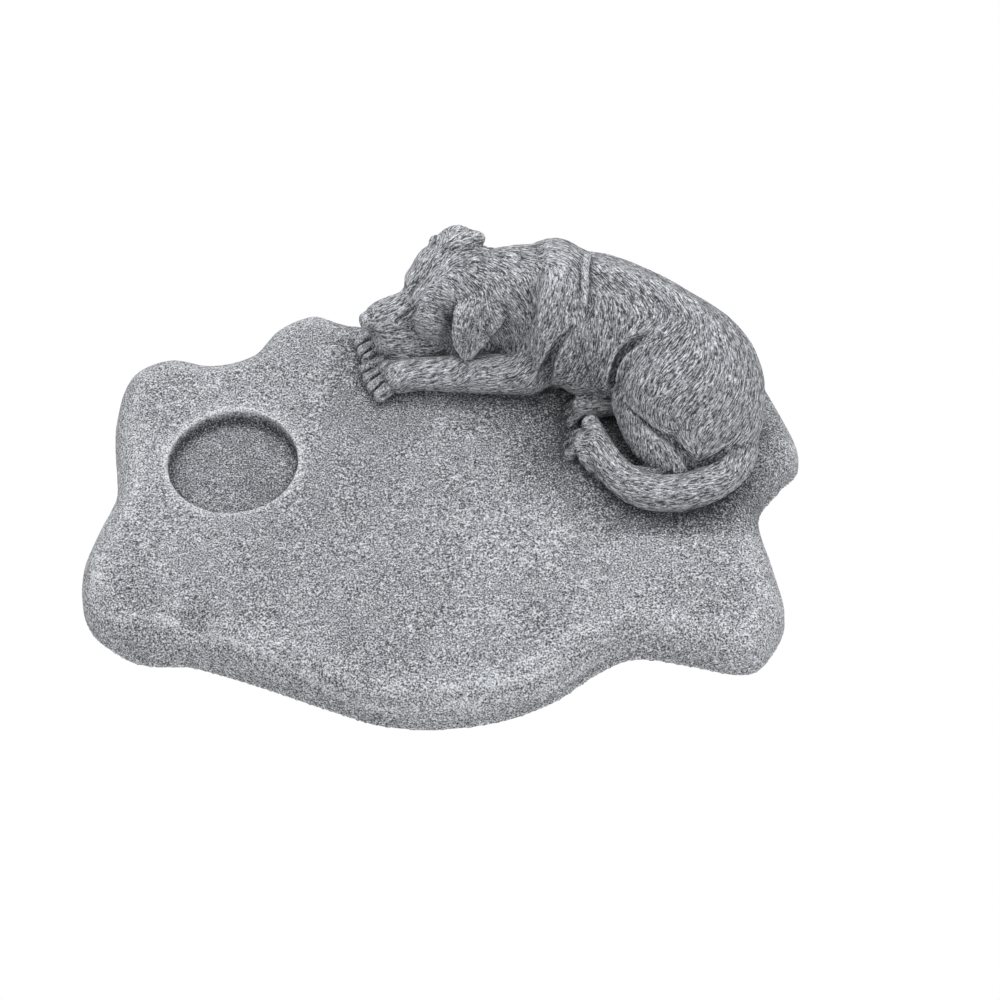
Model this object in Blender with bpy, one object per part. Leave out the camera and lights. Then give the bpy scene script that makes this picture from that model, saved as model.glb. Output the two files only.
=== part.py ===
"""Pet memorial statue: a sleeping dog cast in one with a flat, water-worn slab.

The slab has a free-form outline and a round recess for a small candle. The dog lies curled on the
back right of the slab with its head on its forelegs and its tail round its hind foot.
Lengths are in metres, +Z is up and the origin is the centre of the flat underside.
"""

import math

import bmesh
import bpy
import numpy as np

# Driving sizes of the slab
SLAB_LENGTH = 0.225
SLAB_DEPTH = 0.170
SLAB_THICKNESS = 0.0150
SHOULDER_WIDTH = 0.0085
SHOULDER_DROP = 0.0095
WALL_TAPER = 0.10
TOP_SWELL = 0.0007

# Driving sizes of the candle recess
RECESS_DIAMETER = 0.041
RECESS_DEPTH = 0.005
RECESS_FILLET = 0.0012
RECESS_PLACE = (-0.601, 0.065)

# Driving sizes of the dog, from its paws to its rump
DOG_LENGTH = 0.1305
DOG_PLACE = (0.320, 0.541)
DOG_FOOT_BLEND = 0.0016

# Fineness of the mesh
GRID_STEP = 0.0013
FACES = 9300
RECESS_SIDES = 64

# Stations of the slab's edge, anticlockwise from the right. The curve through them is scaled to
# the slab's length and depth, so only their proportions count.
OUTLINE = [
    (113, 17), (106.8, 37), (99, 54.8), (85.5, 72.5), (64, 85), (38, 87), (14, 84), (-10, 76.5),
    (-30, 70.5), (-45.5, 75.5), (-58.5, 69), (-66, 58), (-78, 53.5), (-92.5, 56), (-105.7, 47.6),
    (-108.5, 28), (-106.5, 11), (-105.5, -1), (-109.6, -15), (-113, -31), (-109.4, -46.6),
    (-97.6, -57.2), (-88, -60.2), (-77, -60.4), (-56, -67.4), (-36, -75.2), (-18.5, -81.2), (0, -82.2),
    (17.5, -79.4), (33, -72.8), (46, -63), (58, -57.4), (74.5, -60), (88.2, -63), (96.4, -60.2),
    (104, -45.6), (101.6, -28), (98.6, -13), (99.4, -2.7), (107, 7.8),
]
OUTLINE_STEPS = 6

# Hills and hollows of the slab's top on the same grid: x, y, spread, and height as a share of the
# slab's thickness
TOP_RELIEF = [
    (-98, -50, 16, -0.2), (-75, -53, 7, -0.14), (-88, -36, 12, 0.05), (0, -72, 22, -0.06),
    (85, -48, 16, -0.08),
]

# The dog is laid out on a grid of its own, 132 units long, x and y as seen from above and the
# height above the slab. FIGURE_CENTRE is the point of that grid that stands at DOG_PLACE.
FIGURE_UNITS = 132.0
FIGURE_CENTRE = (36.0, 48.0)

# Stations (x, y, height, radius) of the tapered strands that the body is built from
TORSO = [
    (46, 48.5, 21, 21.6), (52, 45.5, 21.5, 21.3), (59.5, 40.5, 22, 21), (68, 34.5, 21.8, 20.5),
    (75.2, 28.5, 21.3, 20.5), (79.5, 22, 19.5, 20), (84.5, 14.5, 14, 14),
]
SPINE = [
    (30, 56, 38, 4), (41, 54.4, 39.8, 3.2), (52, 49.5, 40, 3.2), (61, 44.3, 41.4, 3.2),
    (70, 39, 41.8, 3.2), (78, 31.6, 40, 3.4), (84.4, 23, 32, 4), (89.2, 17, 25, 5), (91.4, 9, 16, 6),
]
FLANK = [
    (30, 54, 13, 17), (46, 54, 13, 17), (60, 49.5, 13, 17), (72, 42, 13, 17), (81, 31, 13, 16.5),
    (87, 19, 11, 12),
]
NECK = [(4, 62, 23.6, 12), (14, 60.2, 22.4, 13.7), (28, 56.5, 22.4, 18.1)]
WITHERS = ((34.5, 52.5, 20), (14.7, 22.3, 25.5))
BELLY = ((46, 38.5, 14.5), (13.5, 13, 14.5))
THIGH = ((71.5, 21, 20.7), (17.6, 18.4, 18.2))
BUTTOCK = ((78.5, 11, 14), (12, 13, 14))
TAIL = [
    (89, 14, 11, 9), (90.5, 5, 8, 7.2), (87, -2.5, 6.5, 6.2), (79, -8, 5.8, 5.9), (70, -10.3, 5.6, 5.8),
    (61, -9, 5.6, 5.7), (54, -4, 5.8, 5.3), (49.5, 3, 6.2, 4.8), (47, 10, 6.8, 4), (45.3, 16, 7.6, 3),
]
UPPER_ARM = [(38, 50, 28, 13), (33, 44, 19, 9.8), (26, 39, 8.5, 7.6)]
NEAR_FORELEG = [(25, 38.5, 7, 7.4), (10, 38.6, 6, 6.3), (-8, 39, 5.6, 5.5), (-16, 38, 5.2, 5.3)]
FAR_FORELEG = [(20, 52, 7, 7), (4, 51, 6, 6), (-10, 50.5, 5.6, 5.5), (-19, 49.6, 5.2, 5.2)]
SHIN = [(62.5, 19, 15.5, 11), (65.6, 8.6, 10.4, 9), (73, 1, 6.2, 6)]
NEAR_HIND_FOOT = [(72, 0, 4, 4.5), (58, -2.5, 3.2, 4), (47, 4.5, 3.6, 4.4), (43.4, 10.6, 4.2, 3.9)]
FAR_HIND_FOOT = [(60, 29, 6, 5.4), (51, 27.5, 6, 5.2), (45, 26, 5.6, 4.4), (43, 25.6, 5.4, 3.8)]

# Creases cut into the coat
SHOULDER_CREASE = [
    (46.4, 57, 43.2, 0.9), (45.4, 50.5, 44.4, 1.1), (45.4, 44.5, 43.3, 1.1), (44.6, 38, 41, 1),
    (42.5, 33.5, 37.5, 0.8),
]
SHOULDER_RIDGE = [
    (44.1, 56.5, 42.4, 1.4), (43.1, 50.5, 43.9, 1.3), (43.1, 44.5, 42.7, 1.2), (42.8, 38.5, 40, 0.9),
]
ARMPIT_CREASE = [
    (42, 33.2, 37, 0.6), (38, 32.2, 33.6, 1), (34.6, 31, 28.8, 1.3), (32.6, 31.2, 23, 1.7),
    (31.4, 32, 16, 2.4), (30, 32, 9, 3),
]
COLLAR_CREASE = [
    (25.5, 64, 43.6, 4.4), (24.8, 56, 44.8, 4.8), (24.2, 47.5, 42.6, 5), (23.4, 42.8, 36.4, 4.9),
    (22.8, 38.8, 29.8, 4.8), (20.3, 37.6, 22.5, 4.4), (17, 38.2, 16.5, 4),
]
NECK_HOLLOW = [(17, 43.5, 29, 2.6), (17.5, 40.5, 21, 4), (14, 41, 14, 3)]
THIGH_CREASE = [
    (70, 22, 41.2, 0.5), (65, 24.2, 40.2, 1), (60.2, 25.2, 38, 1.3), (56, 24.8, 34.2, 1.5),
    (53, 23.4, 28.3, 1.6), (52, 22.3, 20, 1.7),
]
SHIN_CREASE = [
    (55.5, 12.4, 21, 0.3), (61, 7.2, 20.4, 0.9), (67, 4, 17.4, 1.3), (71, 1.2, 15.5, 1.6),
    (74, -1, 13, 1.6), (75.5, -2, 10, 1.6),
]
TAIL_CREASE = [(76, -2.5, 8.5, 1.4), (80.5, -2, 10, 1.4), (84.5, -0.8, 12.5, 1.2), (87.5, -0.5, 16, 0.5)]

# The head has axes of its own: forward along the muzzle, to the dog's left, and up
HEAD_CENTRE = (2.0, 62.0, 24.0)
HEAD_YAW = math.radians(23.0)
HEAD_PITCH = math.radians(7.0)
HEAD_ROLL = math.radians(0.0)
SKULL = ((-1.5, 0, 0), (14.2, 13.2, 13))
MUZZLE = [(8, 0, -5, 8.8), (26, 0, -3.9, 6.5)]
JAW = [(3, 5, -13.6, 8.4), (22, 4.4, -13.8, 7)]
LIP = [(8, 5.8, -9.6, 6.6), (26, 3.7, -8.8, 5.6)]
MOUTH = [(29.5, 2.5, -12, 0.8), (26, 7, -13, 1), (20, 10, -14.2, 1), (12, 12, -15.2, 0.6)]
BROW = (10.8, 4.2, 2.8, 4.9)
CHEEK = ((12, 6.4, -3.2), (6.4, 6.2, 8.6))
FAR_CHEEK = ((9, -5, -4), (6.5, 4.6, 7.5))
CROWN = (3, 5.5, 4.7, 7.2)
TEMPLE = ((-2, 9.2, -4), (8, 5.5, 8))
NOSE = ((31.5, 0, -1.6), (2.4, 3.8, 3.2))
SOCKET = [(17.5, 6.8, 2.4, 1.6), (19.3, 8.7, -1.5, 2.4), (19.6, 10.8, -5.5, 2.4), (17.5, 12.2, -9.5, 1.8)]
EYELID = [(23, 5.4, -0.4, 0.8), (20.6, 5.4, 0.6, 1.2), (18.4, 5.5, 1.7, 1.6), (16.8, 5.8, 2.6, 1.2)]
FAR_BROW = [(5.8, -8.4, 3.3, 3.8), (7.6, -7.8, 0.1, 3.8)]
NOSE_CREASE = [(30.8, 0, 3.4, 0.5), (31.4, 2.6, 1.8, 0.6), (32.4, 4.2, -1.4, 0.9), (31.6, 4, -4.2, 0.7)]
NEAR_EAR = [
    (10.6, 52.5, 29.4, 8.6), (10.8, 48.4, 28.4, 10), (9.4, 44.5, 23.6, 9.2), (7.4, 41.8, 18.4, 6.2),
    (5.9, 40, 14.6, 2.6),
]
FAR_EAR = [
    (2, 64, 32, 5), (1.8, 68, 35.5, 5.6), (3.4, 72, 35.2, 5.8), (3, 76, 27.5, 7.2), (3.5, 77.5, 18, 4),
]
FAR_EAR_FOLD = ((2.6, 69, 34.8), (5.9, 6, 6.3))
FAR_EAR_LOBES = [(-4.6, 70, 34.7, 2.2), (9.2, 71, 35.2, 2.3)]
NEAR_EAR_FOLD = [(13.4, 47.8, 28.6, 2.2), (15.8, 45.4, 26, 2.1), (14.4, 43.6, 22.6, 1.3)]


def blend(a, b, reach):
    """The union of two distance fields, with a fillet about reach wide."""
    share = np.clip(0.5 + 0.5 * (b - a) / reach, 0.0, 1.0)
    return b + (a - b) * share - reach * share * (1.0 - share)


def carve(a, b, reach):
    """Field a with field b cut out of it, the edge eased by reach."""
    return -blend(-a, b, reach)


def ball(p, centre, radius):
    return np.linalg.norm(p - centre, axis=1) - radius


def egg(p, centre, radii):
    """An ellipsoid along the grid's axes."""
    radii = np.asarray(radii, float)
    q = p - centre
    near = np.linalg.norm(q / radii, axis=1)
    steep = np.linalg.norm(q / radii**2, axis=1)
    return near * (near - 1.0) / np.maximum(steep, 1e-9)


def rod(p, start, end):
    """A tapered rod with round ends; start and end are (x, y, height, radius)."""
    start, end = np.asarray(start, float), np.asarray(end, float)
    along = end[:3] - start[:3]
    share = np.clip((p - start[:3]) @ along / (along @ along), 0.0, 1.0)
    centre = start[:3] + share[:, None] * along
    return np.linalg.norm(p - centre, axis=1) - (start[3] + share * (end[3] - start[3]))


def catmull_rom(stations, steps, closed=False):
    """Points on a smooth curve through the stations."""
    knots = np.asarray(stations, float)
    if closed:
        knots = np.vstack([knots[-1:], knots, knots[:2]])
    else:
        knots = np.vstack([2 * knots[0] - knots[1], knots, 2 * knots[-1] - knots[-2]])
    curve = []
    for a, b, c, d in zip(knots, knots[1:], knots[2:], knots[3:]):
        for t in np.arange(steps) / steps:
            curve.append(
                0.5 * (2 * b + (c - a) * t + (2 * a - 5 * b + 4 * c - d) * t**2
                       + (3 * b - a - 3 * c + d) * t**3)
            )
    if not closed:
        curve.append(knots[-2])
    return np.array(curve)


def strand(p, stations, steps=3):
    """A smooth tapered strand through stations of (x, y, height, radius)."""
    curve = catmull_rom(stations, steps)
    field = rod(p, curve[0], curve[1])
    for start, end in zip(curve[1:], curve[2:]):
        field = np.minimum(field, rod(p, start, end))
    return field


def strap(p, stations, across, thickness):
    """A flat strap with round edges. Stations are (x, y, height, half width); across is the
    direction of its width."""
    across = np.asarray(across, float) / np.linalg.norm(across)
    field = np.full(len(p), np.inf)
    curve = catmull_rom(stations, 3)
    for start, end in zip(curve, curve[1:]):
        along = end[:3] - start[:3]
        share = np.clip((p - start[:3]) @ along / (along @ along), 0.0, 1.0)
        offset = p - (start[:3] + share[:, None] * along)
        wide = offset @ across
        deep = np.linalg.norm(offset - wide[:, None] * across, axis=1)
        half = start[3] + share * (end[3] - start[3]) - thickness / 2
        field = np.minimum(field, np.hypot(np.maximum(np.abs(wide) - half, 0.0), deep) - thickness / 2)
    return field


def head_axes():
    """The head's forward, left and up directions on the figure's grid."""
    forward = np.array([-math.cos(HEAD_YAW) * math.cos(HEAD_PITCH),
                        -math.sin(HEAD_YAW) * math.cos(HEAD_PITCH), -math.sin(HEAD_PITCH)])
    level_left = np.array([math.sin(HEAD_YAW), -math.cos(HEAD_YAW), 0.0])
    level_up = np.cross(forward, level_left)
    left = math.cos(HEAD_ROLL) * level_left + math.sin(HEAD_ROLL) * level_up
    return np.array([forward, left, np.cross(forward, left)])


def head_field(p):
    """The skull, muzzle, brows, cheeks, nose and closed eyes."""
    q = (p - HEAD_CENTRE) @ head_axes().T
    both = q * (1, 1, 1)
    both[:, 1] = np.abs(q[:, 1])
    field = blend(egg(q, *SKULL), rod(q, *MUZZLE), 4)
    field = blend(field, rod(both, *JAW), 2)
    field = blend(field, rod(both, *LIP), 1.5)
    field = carve(field, strand(both, MOUTH), 1)
    field = blend(field, ball(both, BROW[:3], BROW[3]), 4)
    field = blend(field, ball(both, CROWN[:3], CROWN[3]), 4)
    field = blend(field, egg(both, *TEMPLE), 2.5)
    field = blend(field, rod(q, *FAR_BROW), 3)
    field = blend(field, egg(q, *FAR_CHEEK), 2)
    field = carve(field, strand(both, SOCKET), 3)
    field = blend(field, egg(q, *CHEEK), 1.5)
    field = blend(field, egg(q, *NOSE), 0.8)
    field = carve(field, strand(both, NOSE_CREASE), 0.6)
    return carve(field, strand(both, EYELID), 0.8)


def ears_field(p):
    """The near ear hangs over the cheek and the far one over the other side of the head."""
    forward = head_axes()[0]
    far = blend(strap(p, FAR_EAR, (1, 0, -0.1), 4), egg(p, *FAR_EAR_FOLD), 2)
    for lobe in FAR_EAR_LOBES:
        far = blend(far, ball(p, lobe[:3], lobe[3]), 2)
    near = blend(strap(p, NEAR_EAR, forward, 4.4), strand(p, NEAR_EAR_FOLD), 1.6)
    return np.minimum(near, far)


def paw(p, wrist, knuckles, heading, pitch, count=4, reach=5.5):
    """A paw: toes that fan out from the knuckles down to their tips, with slits between them."""
    heading = np.asarray(heading, float) / np.linalg.norm(heading)
    ahead = np.array([heading[0], heading[1], 0.0])
    aside = np.array([-heading[1], heading[0], 0.0])
    middle = np.asarray(knuckles, float)
    pad = count * pitch * 0.34
    field = rod(p, wrist, (*(middle - 2.2 * ahead), wrist[3] * 0.84))
    field = blend(field, egg(p, (*(middle + ahead)[:2], 0.8), (pad, pad, 3.2)), 1)
    for i in range(count):
        offset = (i - (count - 1) / 2) * pitch
        root = middle + aside * offset * 0.76 - ahead * 1.2
        tip = middle + aside * offset + ahead * (reach - abs(offset) * 0.16)
        tip[2] = pitch * 0.45
        field = blend(field, rod(p, (*root, pitch * 0.6), (*tip, pitch * 0.56)), 0.5)
    for i in range(count - 1):
        offset = (i + 1 - count / 2) * pitch
        start = middle + aside * offset * 0.9 + ahead * 2 + (0, 0, pitch * 0.2)
        end = middle + aside * offset * 1.04 + ahead * (reach + 2.5)
        end[2] = 0.0
        field = carve(field, rod(p, (*start, 0.65), (*end, 1.0)), 0.2)
    return field


def dog_field(p):
    """The whole dog as one distance field on the figure's grid."""
    torso = strand(p, TORSO)
    body = blend(torso, strand(p, SPINE), 4)
    body = blend(body, strand(p, NECK), 1.5)
    body = blend(body, strand(p, FLANK), 5)
    body = blend(body, egg(p, *WITHERS), 4)
    body = blend(body, egg(p, *BELLY), 2)
    body = carve(body, strand(p, NECK_HOLLOW), 4)
    body = blend(body, strand(p, UPPER_ARM), 1.5)
    body = carve(body, strand(p, COLLAR_CREASE), 3)
    body = blend(body, egg(p, *BUTTOCK), 3)
    body = carve(body, strand(p, SHOULDER_CREASE), 2.5)
    body = blend(body, strand(p, SHOULDER_RIDGE), 0.8)
    body = carve(body, strand(p, ARMPIT_CREASE), 1.2)
    body = carve(body, strand(p, THIGH_CREASE), 1.6)
    body = blend(body, egg(p, *THIGH), 0.5)
    body = blend(body, strand(p, SHIN), 1.2)
    body = carve(body, strand(p, SHIN_CREASE), 1)
    field = blend(body, strand(p, TAIL), 1.2)
    field = carve(field, strand(p, TAIL_CREASE), 1)
    field = blend(field, strand(p, NEAR_HIND_FOOT), 0.8)
    field = blend(field, strand(p, FAR_HIND_FOOT), 1.2)
    field = blend(field, strand(p, NEAR_FORELEG), 2)
    field = blend(field, strand(p, FAR_FORELEG), 2)
    field = blend(field, paw(p, (-14, 38.4, 5.4, 5.2), (-20.8, 40.6, 4.2), (-1, -0.45), 4.1), 0.6)
    field = blend(field, paw(p, (-18, 50.2, 6, 5.4), (-22.8, 52, 4.8), (-1, -0.4), 4.2), 0.6)
    field = blend(field, paw(p, (45, 9.6, 4.4, 3.9), (41, 12.2, 4.6), (-1, 0.1), 3.3, 3, 2.6), 0.6)
    field = blend(field, paw(p, (45, 25.6, 5.2, 3.9), (41, 25.8, 4.9), (-1, -0.1), 2.9, 3, 2.4), 0.6)
    field = blend(field, head_field(p), 1.6)
    return blend(field, ears_field(p), 0.9)


def lumps(x, y, size, seed):
    """Smooth noise from -1 to 1 in the plane, with hills about size across."""
    lattice = np.random.default_rng(seed).uniform(-1, 1, (64, 64))
    u, v = x / size + 32, y / size + 32
    i, j = np.floor(u).astype(int), np.floor(v).astype(int)
    s, t = u - i, v - j
    s, t = s * s * (3 - 2 * s), t * t * (3 - 2 * t)
    i, j = i % 63, j % 63
    near = lattice[i, j] * (1 - s) + lattice[i + 1, j] * s
    far = lattice[i, j + 1] * (1 - s) + lattice[i + 1, j + 1] * s
    return near * (1 - t) + far * t


def slab_outline():
    """The slab's edge as points, scaled to its length and depth and centred on the origin."""
    curve = catmull_rom(OUTLINE, OUTLINE_STEPS, closed=True)
    return on_slab(curve, curve)


def on_slab(points, curve):
    """Points of the outline's grid in metres, so that the curve spans the slab's two sizes."""
    low, high = curve.min(0), curve.max(0)
    return (points - (low + high) / 2) / (high - low) * (SLAB_LENGTH, SLAB_DEPTH)


def relief(x, y):
    """Height of the slab's gently uneven top above its thickness."""
    curve = catmull_rom(OUTLINE, OUTLINE_STEPS, closed=True)
    places = on_slab(np.array([hill[:2] for hill in TOP_RELIEF], float), curve)
    unit = SLAB_LENGTH / np.ptp(curve[:, 0])
    height = TOP_SWELL * lumps(x, y, 0.03, 3)
    for (cx, cy), (_, _, spread, share) in zip(places, TOP_RELIEF):
        away = ((x - cx) ** 2 + (y - cy) ** 2) / (spread * unit) ** 2
        height = height + share * SLAB_THICKNESS * np.exp(-away)
    return height


def outline_distance(x, y, outline):
    """Distance to the slab's edge in plan, negative inside."""
    nearest = np.full(len(x), np.inf)
    crossings = np.zeros(len(x), bool)
    for (ax, ay), (bx, by) in zip(outline, np.roll(outline, -1, axis=0)):
        dx, dy = bx - ax, by - ay
        share = np.clip(((x - ax) * dx + (y - ay) * dy) / (dx * dx + dy * dy), 0.0, 1.0)
        nearest = np.minimum(nearest, (x - ax - share * dx) ** 2 + (y - ay - share * dy) ** 2)
        if ay != by:
            crossings ^= ((ay > y) != (by > y)) & (x < ax + (y - ay) / dy * dx)
    return np.where(crossings, -1.0, 1.0) * np.sqrt(nearest)


def slab_field(p, outline):
    """The slab, with a leaning wall, an elliptical shoulder and a gently uneven top."""
    x, y, z = p.T
    edge = outline_distance(x, y, outline) + WALL_TAPER * z
    top = z - SLAB_THICKNESS - relief(x, y)
    wide = np.maximum(edge + SHOULDER_WIDTH, 0.0) / SHOULDER_WIDTH
    high = np.maximum(top + SHOULDER_DROP, 0.0) / SHOULDER_DROP
    corner = (np.hypot(wide, high) - 1.0) * SHOULDER_WIDTH
    return np.where((wide > 0) & (high > 0), corner, np.maximum(edge, top))


def statue_field(p, outline):
    """The dog and the slab in metres, joined by a small fillet."""
    unit = DOG_LENGTH / FIGURE_UNITS
    place = np.array([DOG_PLACE[0] * SLAB_LENGTH / 2, DOG_PLACE[1] * SLAB_DEPTH / 2, SLAB_THICKNESS])
    grid = (p - place) / unit + (*FIGURE_CENTRE, 0.0)
    slab = slab_field(p, outline)
    dog = np.full(len(p), 0.02)
    near = (np.abs(grid - (36, 40, 20)) < (75, 62, 40)).all(axis=1)
    dog[near] = dog_field(grid[near]) * unit
    return blend(slab, dog, DOG_FOOT_BLEND)


def sampled(field, axes, block=4):
    """The field on a grid. Blocks of points far from the surface take their middle's value."""
    middles, blocks = [], []
    for axis in axes:
        number = np.arange(len(axis)) // block
        blocks.append(number)
        middles.append(np.bincount(number, axis) / np.bincount(number))
    step = axes[0][1] - axes[0][0]
    coarse = field(np.stack(np.meshgrid(*middles, indexing="ij"), axis=-1).reshape(-1, 3))
    coarse = coarse.reshape([len(middle) for middle in middles])
    values = coarse[np.ix_(*blocks)]
    at = np.argwhere(np.abs(values) < block * step)
    values[tuple(at.T)] = field(np.stack([axis[at[:, k]] for k, axis in enumerate(axes)], axis=1))
    return values


def closed_up(values, depth):
    """Fills each grid face or cell whose corners inside meet only across a diagonal, so that the
    surface through it doesn't touch itself."""
    for _ in range(8):
        inside = values < 0
        fill = np.zeros(inside.shape, bool)
        for axis in range(3):
            square = np.moveaxis(inside, axis, 0)
            filled = np.moveaxis(fill, axis, 0)
            a, b, c, d = square[:, :-1, :-1], square[:, 1:, :-1], square[:, :-1, 1:], square[:, 1:, 1:]
            crossed = (a & d & ~b & ~c) | (b & c & ~a & ~d)
            filled[:, :-1, :-1] |= crossed
            filled[:, 1:, :-1] |= crossed
            filled[:, :-1, 1:] |= crossed
            filled[:, 1:, 1:] |= crossed
        corner = [inside[i:inside.shape[0] - 1 + i, j:inside.shape[1] - 1 + j, k:inside.shape[2] - 1 + k]
                  for i in (0, 1) for j in (0, 1) for k in (0, 1)]
        count = sum(part.astype(int) for part in corner)
        opposite = np.zeros(count.shape, bool)
        for i in range(4):
            same = corner[i] == corner[7 - i]
            opposite |= same & (count == np.where(corner[i], 2, 6))
        for i in (0, 1):
            for j in (0, 1):
                for k in (0, 1):
                    ends = [size - 1 + shift for size, shift in zip(fill.shape, (i, j, k))]
                    fill[i:ends[0], j:ends[1], k:ends[2]] |= opposite
        fill &= ~inside
        if not fill.any():
            break
        values = np.where(fill, -depth, values)
    return values


def surface_net(field, low, high, step):
    """Points and quads of the zero surface of a field, one point in each grid cell it crosses."""
    axes = [np.arange(a, b + step, step) for a, b in zip(low, high)]
    shape = tuple(len(axis) for axis in axes)
    values = closed_up(sampled(field, axes), step * 0.2)
    inside = values < 0
    cells = tuple(n - 1 for n in shape)
    total = np.zeros((cells[0] * cells[1] * cells[2], 3))
    count = np.zeros(len(total))
    rings = []
    for axis in range(3):
        first = [slice(None)] * 3
        second = [slice(None)] * 3
        first[axis], second[axis] = slice(None, -1), slice(1, None)
        first, second = tuple(first), tuple(second)
        at = np.argwhere(inside[first] != inside[second])
        b, c = (axis + 1) % 3, (axis + 2) % 3
        at = at[(at[:, b] > 0) & (at[:, b] < shape[b] - 1) & (at[:, c] > 0) & (at[:, c] < shape[c] - 1)]
        start = values[first][tuple(at.T)]
        share = start / (start - values[second][tuple(at.T)])
        point = np.stack([axes[k][at[:, k]] for k in range(3)], axis=1)
        point[:, axis] += share * step
        ring = []
        for db, dc in ((0, 0), (1, 0), (1, 1), (0, 1)):
            cell = at.copy()
            cell[:, b] -= db
            cell[:, c] -= dc
            index = np.ravel_multi_index(cell.T, cells)
            np.add.at(total, index, point)
            np.add.at(count, index, 1)
            ring.append(index)
        ring = np.stack(ring, axis=1)
        rings.append(np.where((start < 0)[:, None], ring, ring[:, ::-1]))
    used = np.flatnonzero(count)
    number = np.full(len(total), -1)
    number[used] = np.arange(len(used))
    return total[used] / count[used, None], number[np.vstack(rings)]


def one_shell(points, quads):
    """The largest connected surface, without any closed void that is left inside it."""
    label = np.arange(len(points))
    joined = np.zeros(len(points), int)
    while (joined != label).any():
        joined = label.copy()
        np.minimum.at(label, quads.ravel(), np.repeat(label[quads].min(axis=1), 4))
        label = label[label]
    kept = label == np.bincount(label).argmax()
    number = np.cumsum(kept) - 1
    return points[kept], number[quads[kept[quads[:, 0]]]]


def stone_material():
    """Grey stone-filled resin."""
    material = bpy.data.materials.new("grey_cast_stone")
    material.use_nodes = True
    shader = material.node_tree.nodes["Principled BSDF"]
    shader.inputs["Base Color"].default_value = (0.27, 0.28, 0.29, 1.0)
    shader.inputs["Roughness"].default_value = 0.85
    shader.inputs["Metallic"].default_value = 0.0
    return material


def turned(name, profile, sides):
    """A closed solid turned round +Z from (radius, z) points that run from axis to axis."""
    mesh = bpy.data.meshes.new(name)
    shape = bmesh.new()
    bottom = shape.verts.new((0, 0, profile[0][1]))
    top = shape.verts.new((0, 0, profile[-1][1]))
    angles = [2 * math.pi * i / sides for i in range(sides)]
    rings = [
        [shape.verts.new((radius * math.cos(a), radius * math.sin(a), z)) for a in angles]
        for radius, z in profile[1:-1]
    ]
    for i in range(sides):
        j = (i + 1) % sides
        shape.faces.new((bottom, rings[0][j], rings[0][i]))
        shape.faces.new((top, rings[-1][i], rings[-1][j]))
        for below, above in zip(rings, rings[1:]):
            shape.faces.new((below[i], below[j], above[j], above[i]))
    shape.to_mesh(mesh)
    shape.free()
    return mesh


def cutter(name, mesh, location):
    """A guide that only cuts, so it is left out of the render."""
    guide = bpy.data.objects.new(name, mesh)
    guide.location = location
    guide.hide_render = True
    guide.display_type = "WIRE"
    bpy.context.collection.objects.link(guide)
    return guide


def ground_cutter():
    """A block below the underside, which leaves it flat."""
    mesh = bpy.data.meshes.new("ground_cutter")
    shape = bmesh.new()
    bmesh.ops.create_cube(shape, size=1.0)
    bmesh.ops.scale(shape, vec=(SLAB_LENGTH * 1.5, SLAB_DEPTH * 1.5, SLAB_THICKNESS), verts=shape.verts)
    shape.to_mesh(mesh)
    shape.free()
    return cutter("ground_cutter", mesh, (0, 0, -SLAB_THICKNESS / 2))


def recess_cutter():
    """The candle recess, with a small fillet round its floor."""
    radius = RECESS_DIAMETER / 2
    fillet = [
        (radius - RECESS_FILLET * (1 - math.sin(a)), RECESS_FILLET * (1 - math.cos(a)))
        for a in np.radians((0, 30, 60, 90))
    ]
    clear = RECESS_DEPTH * 2
    mesh = turned("recess_cutter", [(0, 0), *fillet, (radius, clear), (0, clear)], RECESS_SIDES)
    place = (RECESS_PLACE[0] * SLAB_LENGTH / 2, RECESS_PLACE[1] * SLAB_DEPTH / 2)
    return cutter("recess_cutter", mesh, (*place, SLAB_THICKNESS - RECESS_DEPTH))


def statue():
    """The one-piece casting: its net, thinned to FACES and cut flat below and round at the recess."""
    outline = slab_outline()
    margin = GRID_STEP * 3
    skirt = SLAB_THICKNESS * 0.25
    height = SLAB_THICKNESS + 46 * DOG_LENGTH / FIGURE_UNITS
    low = (-SLAB_LENGTH / 2 - margin, -SLAB_DEPTH / 2 - margin, -skirt - margin)
    high = (SLAB_LENGTH / 2 + margin, SLAB_DEPTH / 2 + margin, height + margin)
    points, quads = surface_net(
        lambda p: np.maximum(statue_field(p, outline), -skirt - p[:, 2]), low, high, GRID_STEP
    )
    points, quads = one_shell(points, quads)
    mesh = bpy.data.meshes.new("pet_memorial_statue")
    mesh.from_pydata(points.tolist(), [], quads.tolist())
    mesh.materials.append(stone_material())
    piece = bpy.data.objects.new("pet_memorial_statue", mesh)
    bpy.context.collection.objects.link(piece)
    thinned = piece.modifiers.new("thinned", "DECIMATE")
    thinned.ratio = FACES / (2 * len(quads))
    for guide in (ground_cutter(), recess_cutter()):
        cut = piece.modifiers.new(guide.name, "BOOLEAN")
        cut.operation = "DIFFERENCE"
        cut.solver = "EXACT"
        cut.object = guide
    mesh.shade_smooth()
    return piece


def main():
    """Clears the scene and makes the statue."""
    for leftover in list(bpy.data.objects):
        bpy.data.objects.remove(leftover)
    statue()


main()
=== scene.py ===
"""Looks of the pet memorial statue: a sleeping dog cast in one with a water-worn slab.

The casting is one mesh round the same forms as the solid, with the coat's carved strokes and the
stone's grain as real relief, and a grey finish that is pale on the ridges, partly as painted
highlight, with painted shade in the hollows.
"""

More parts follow.
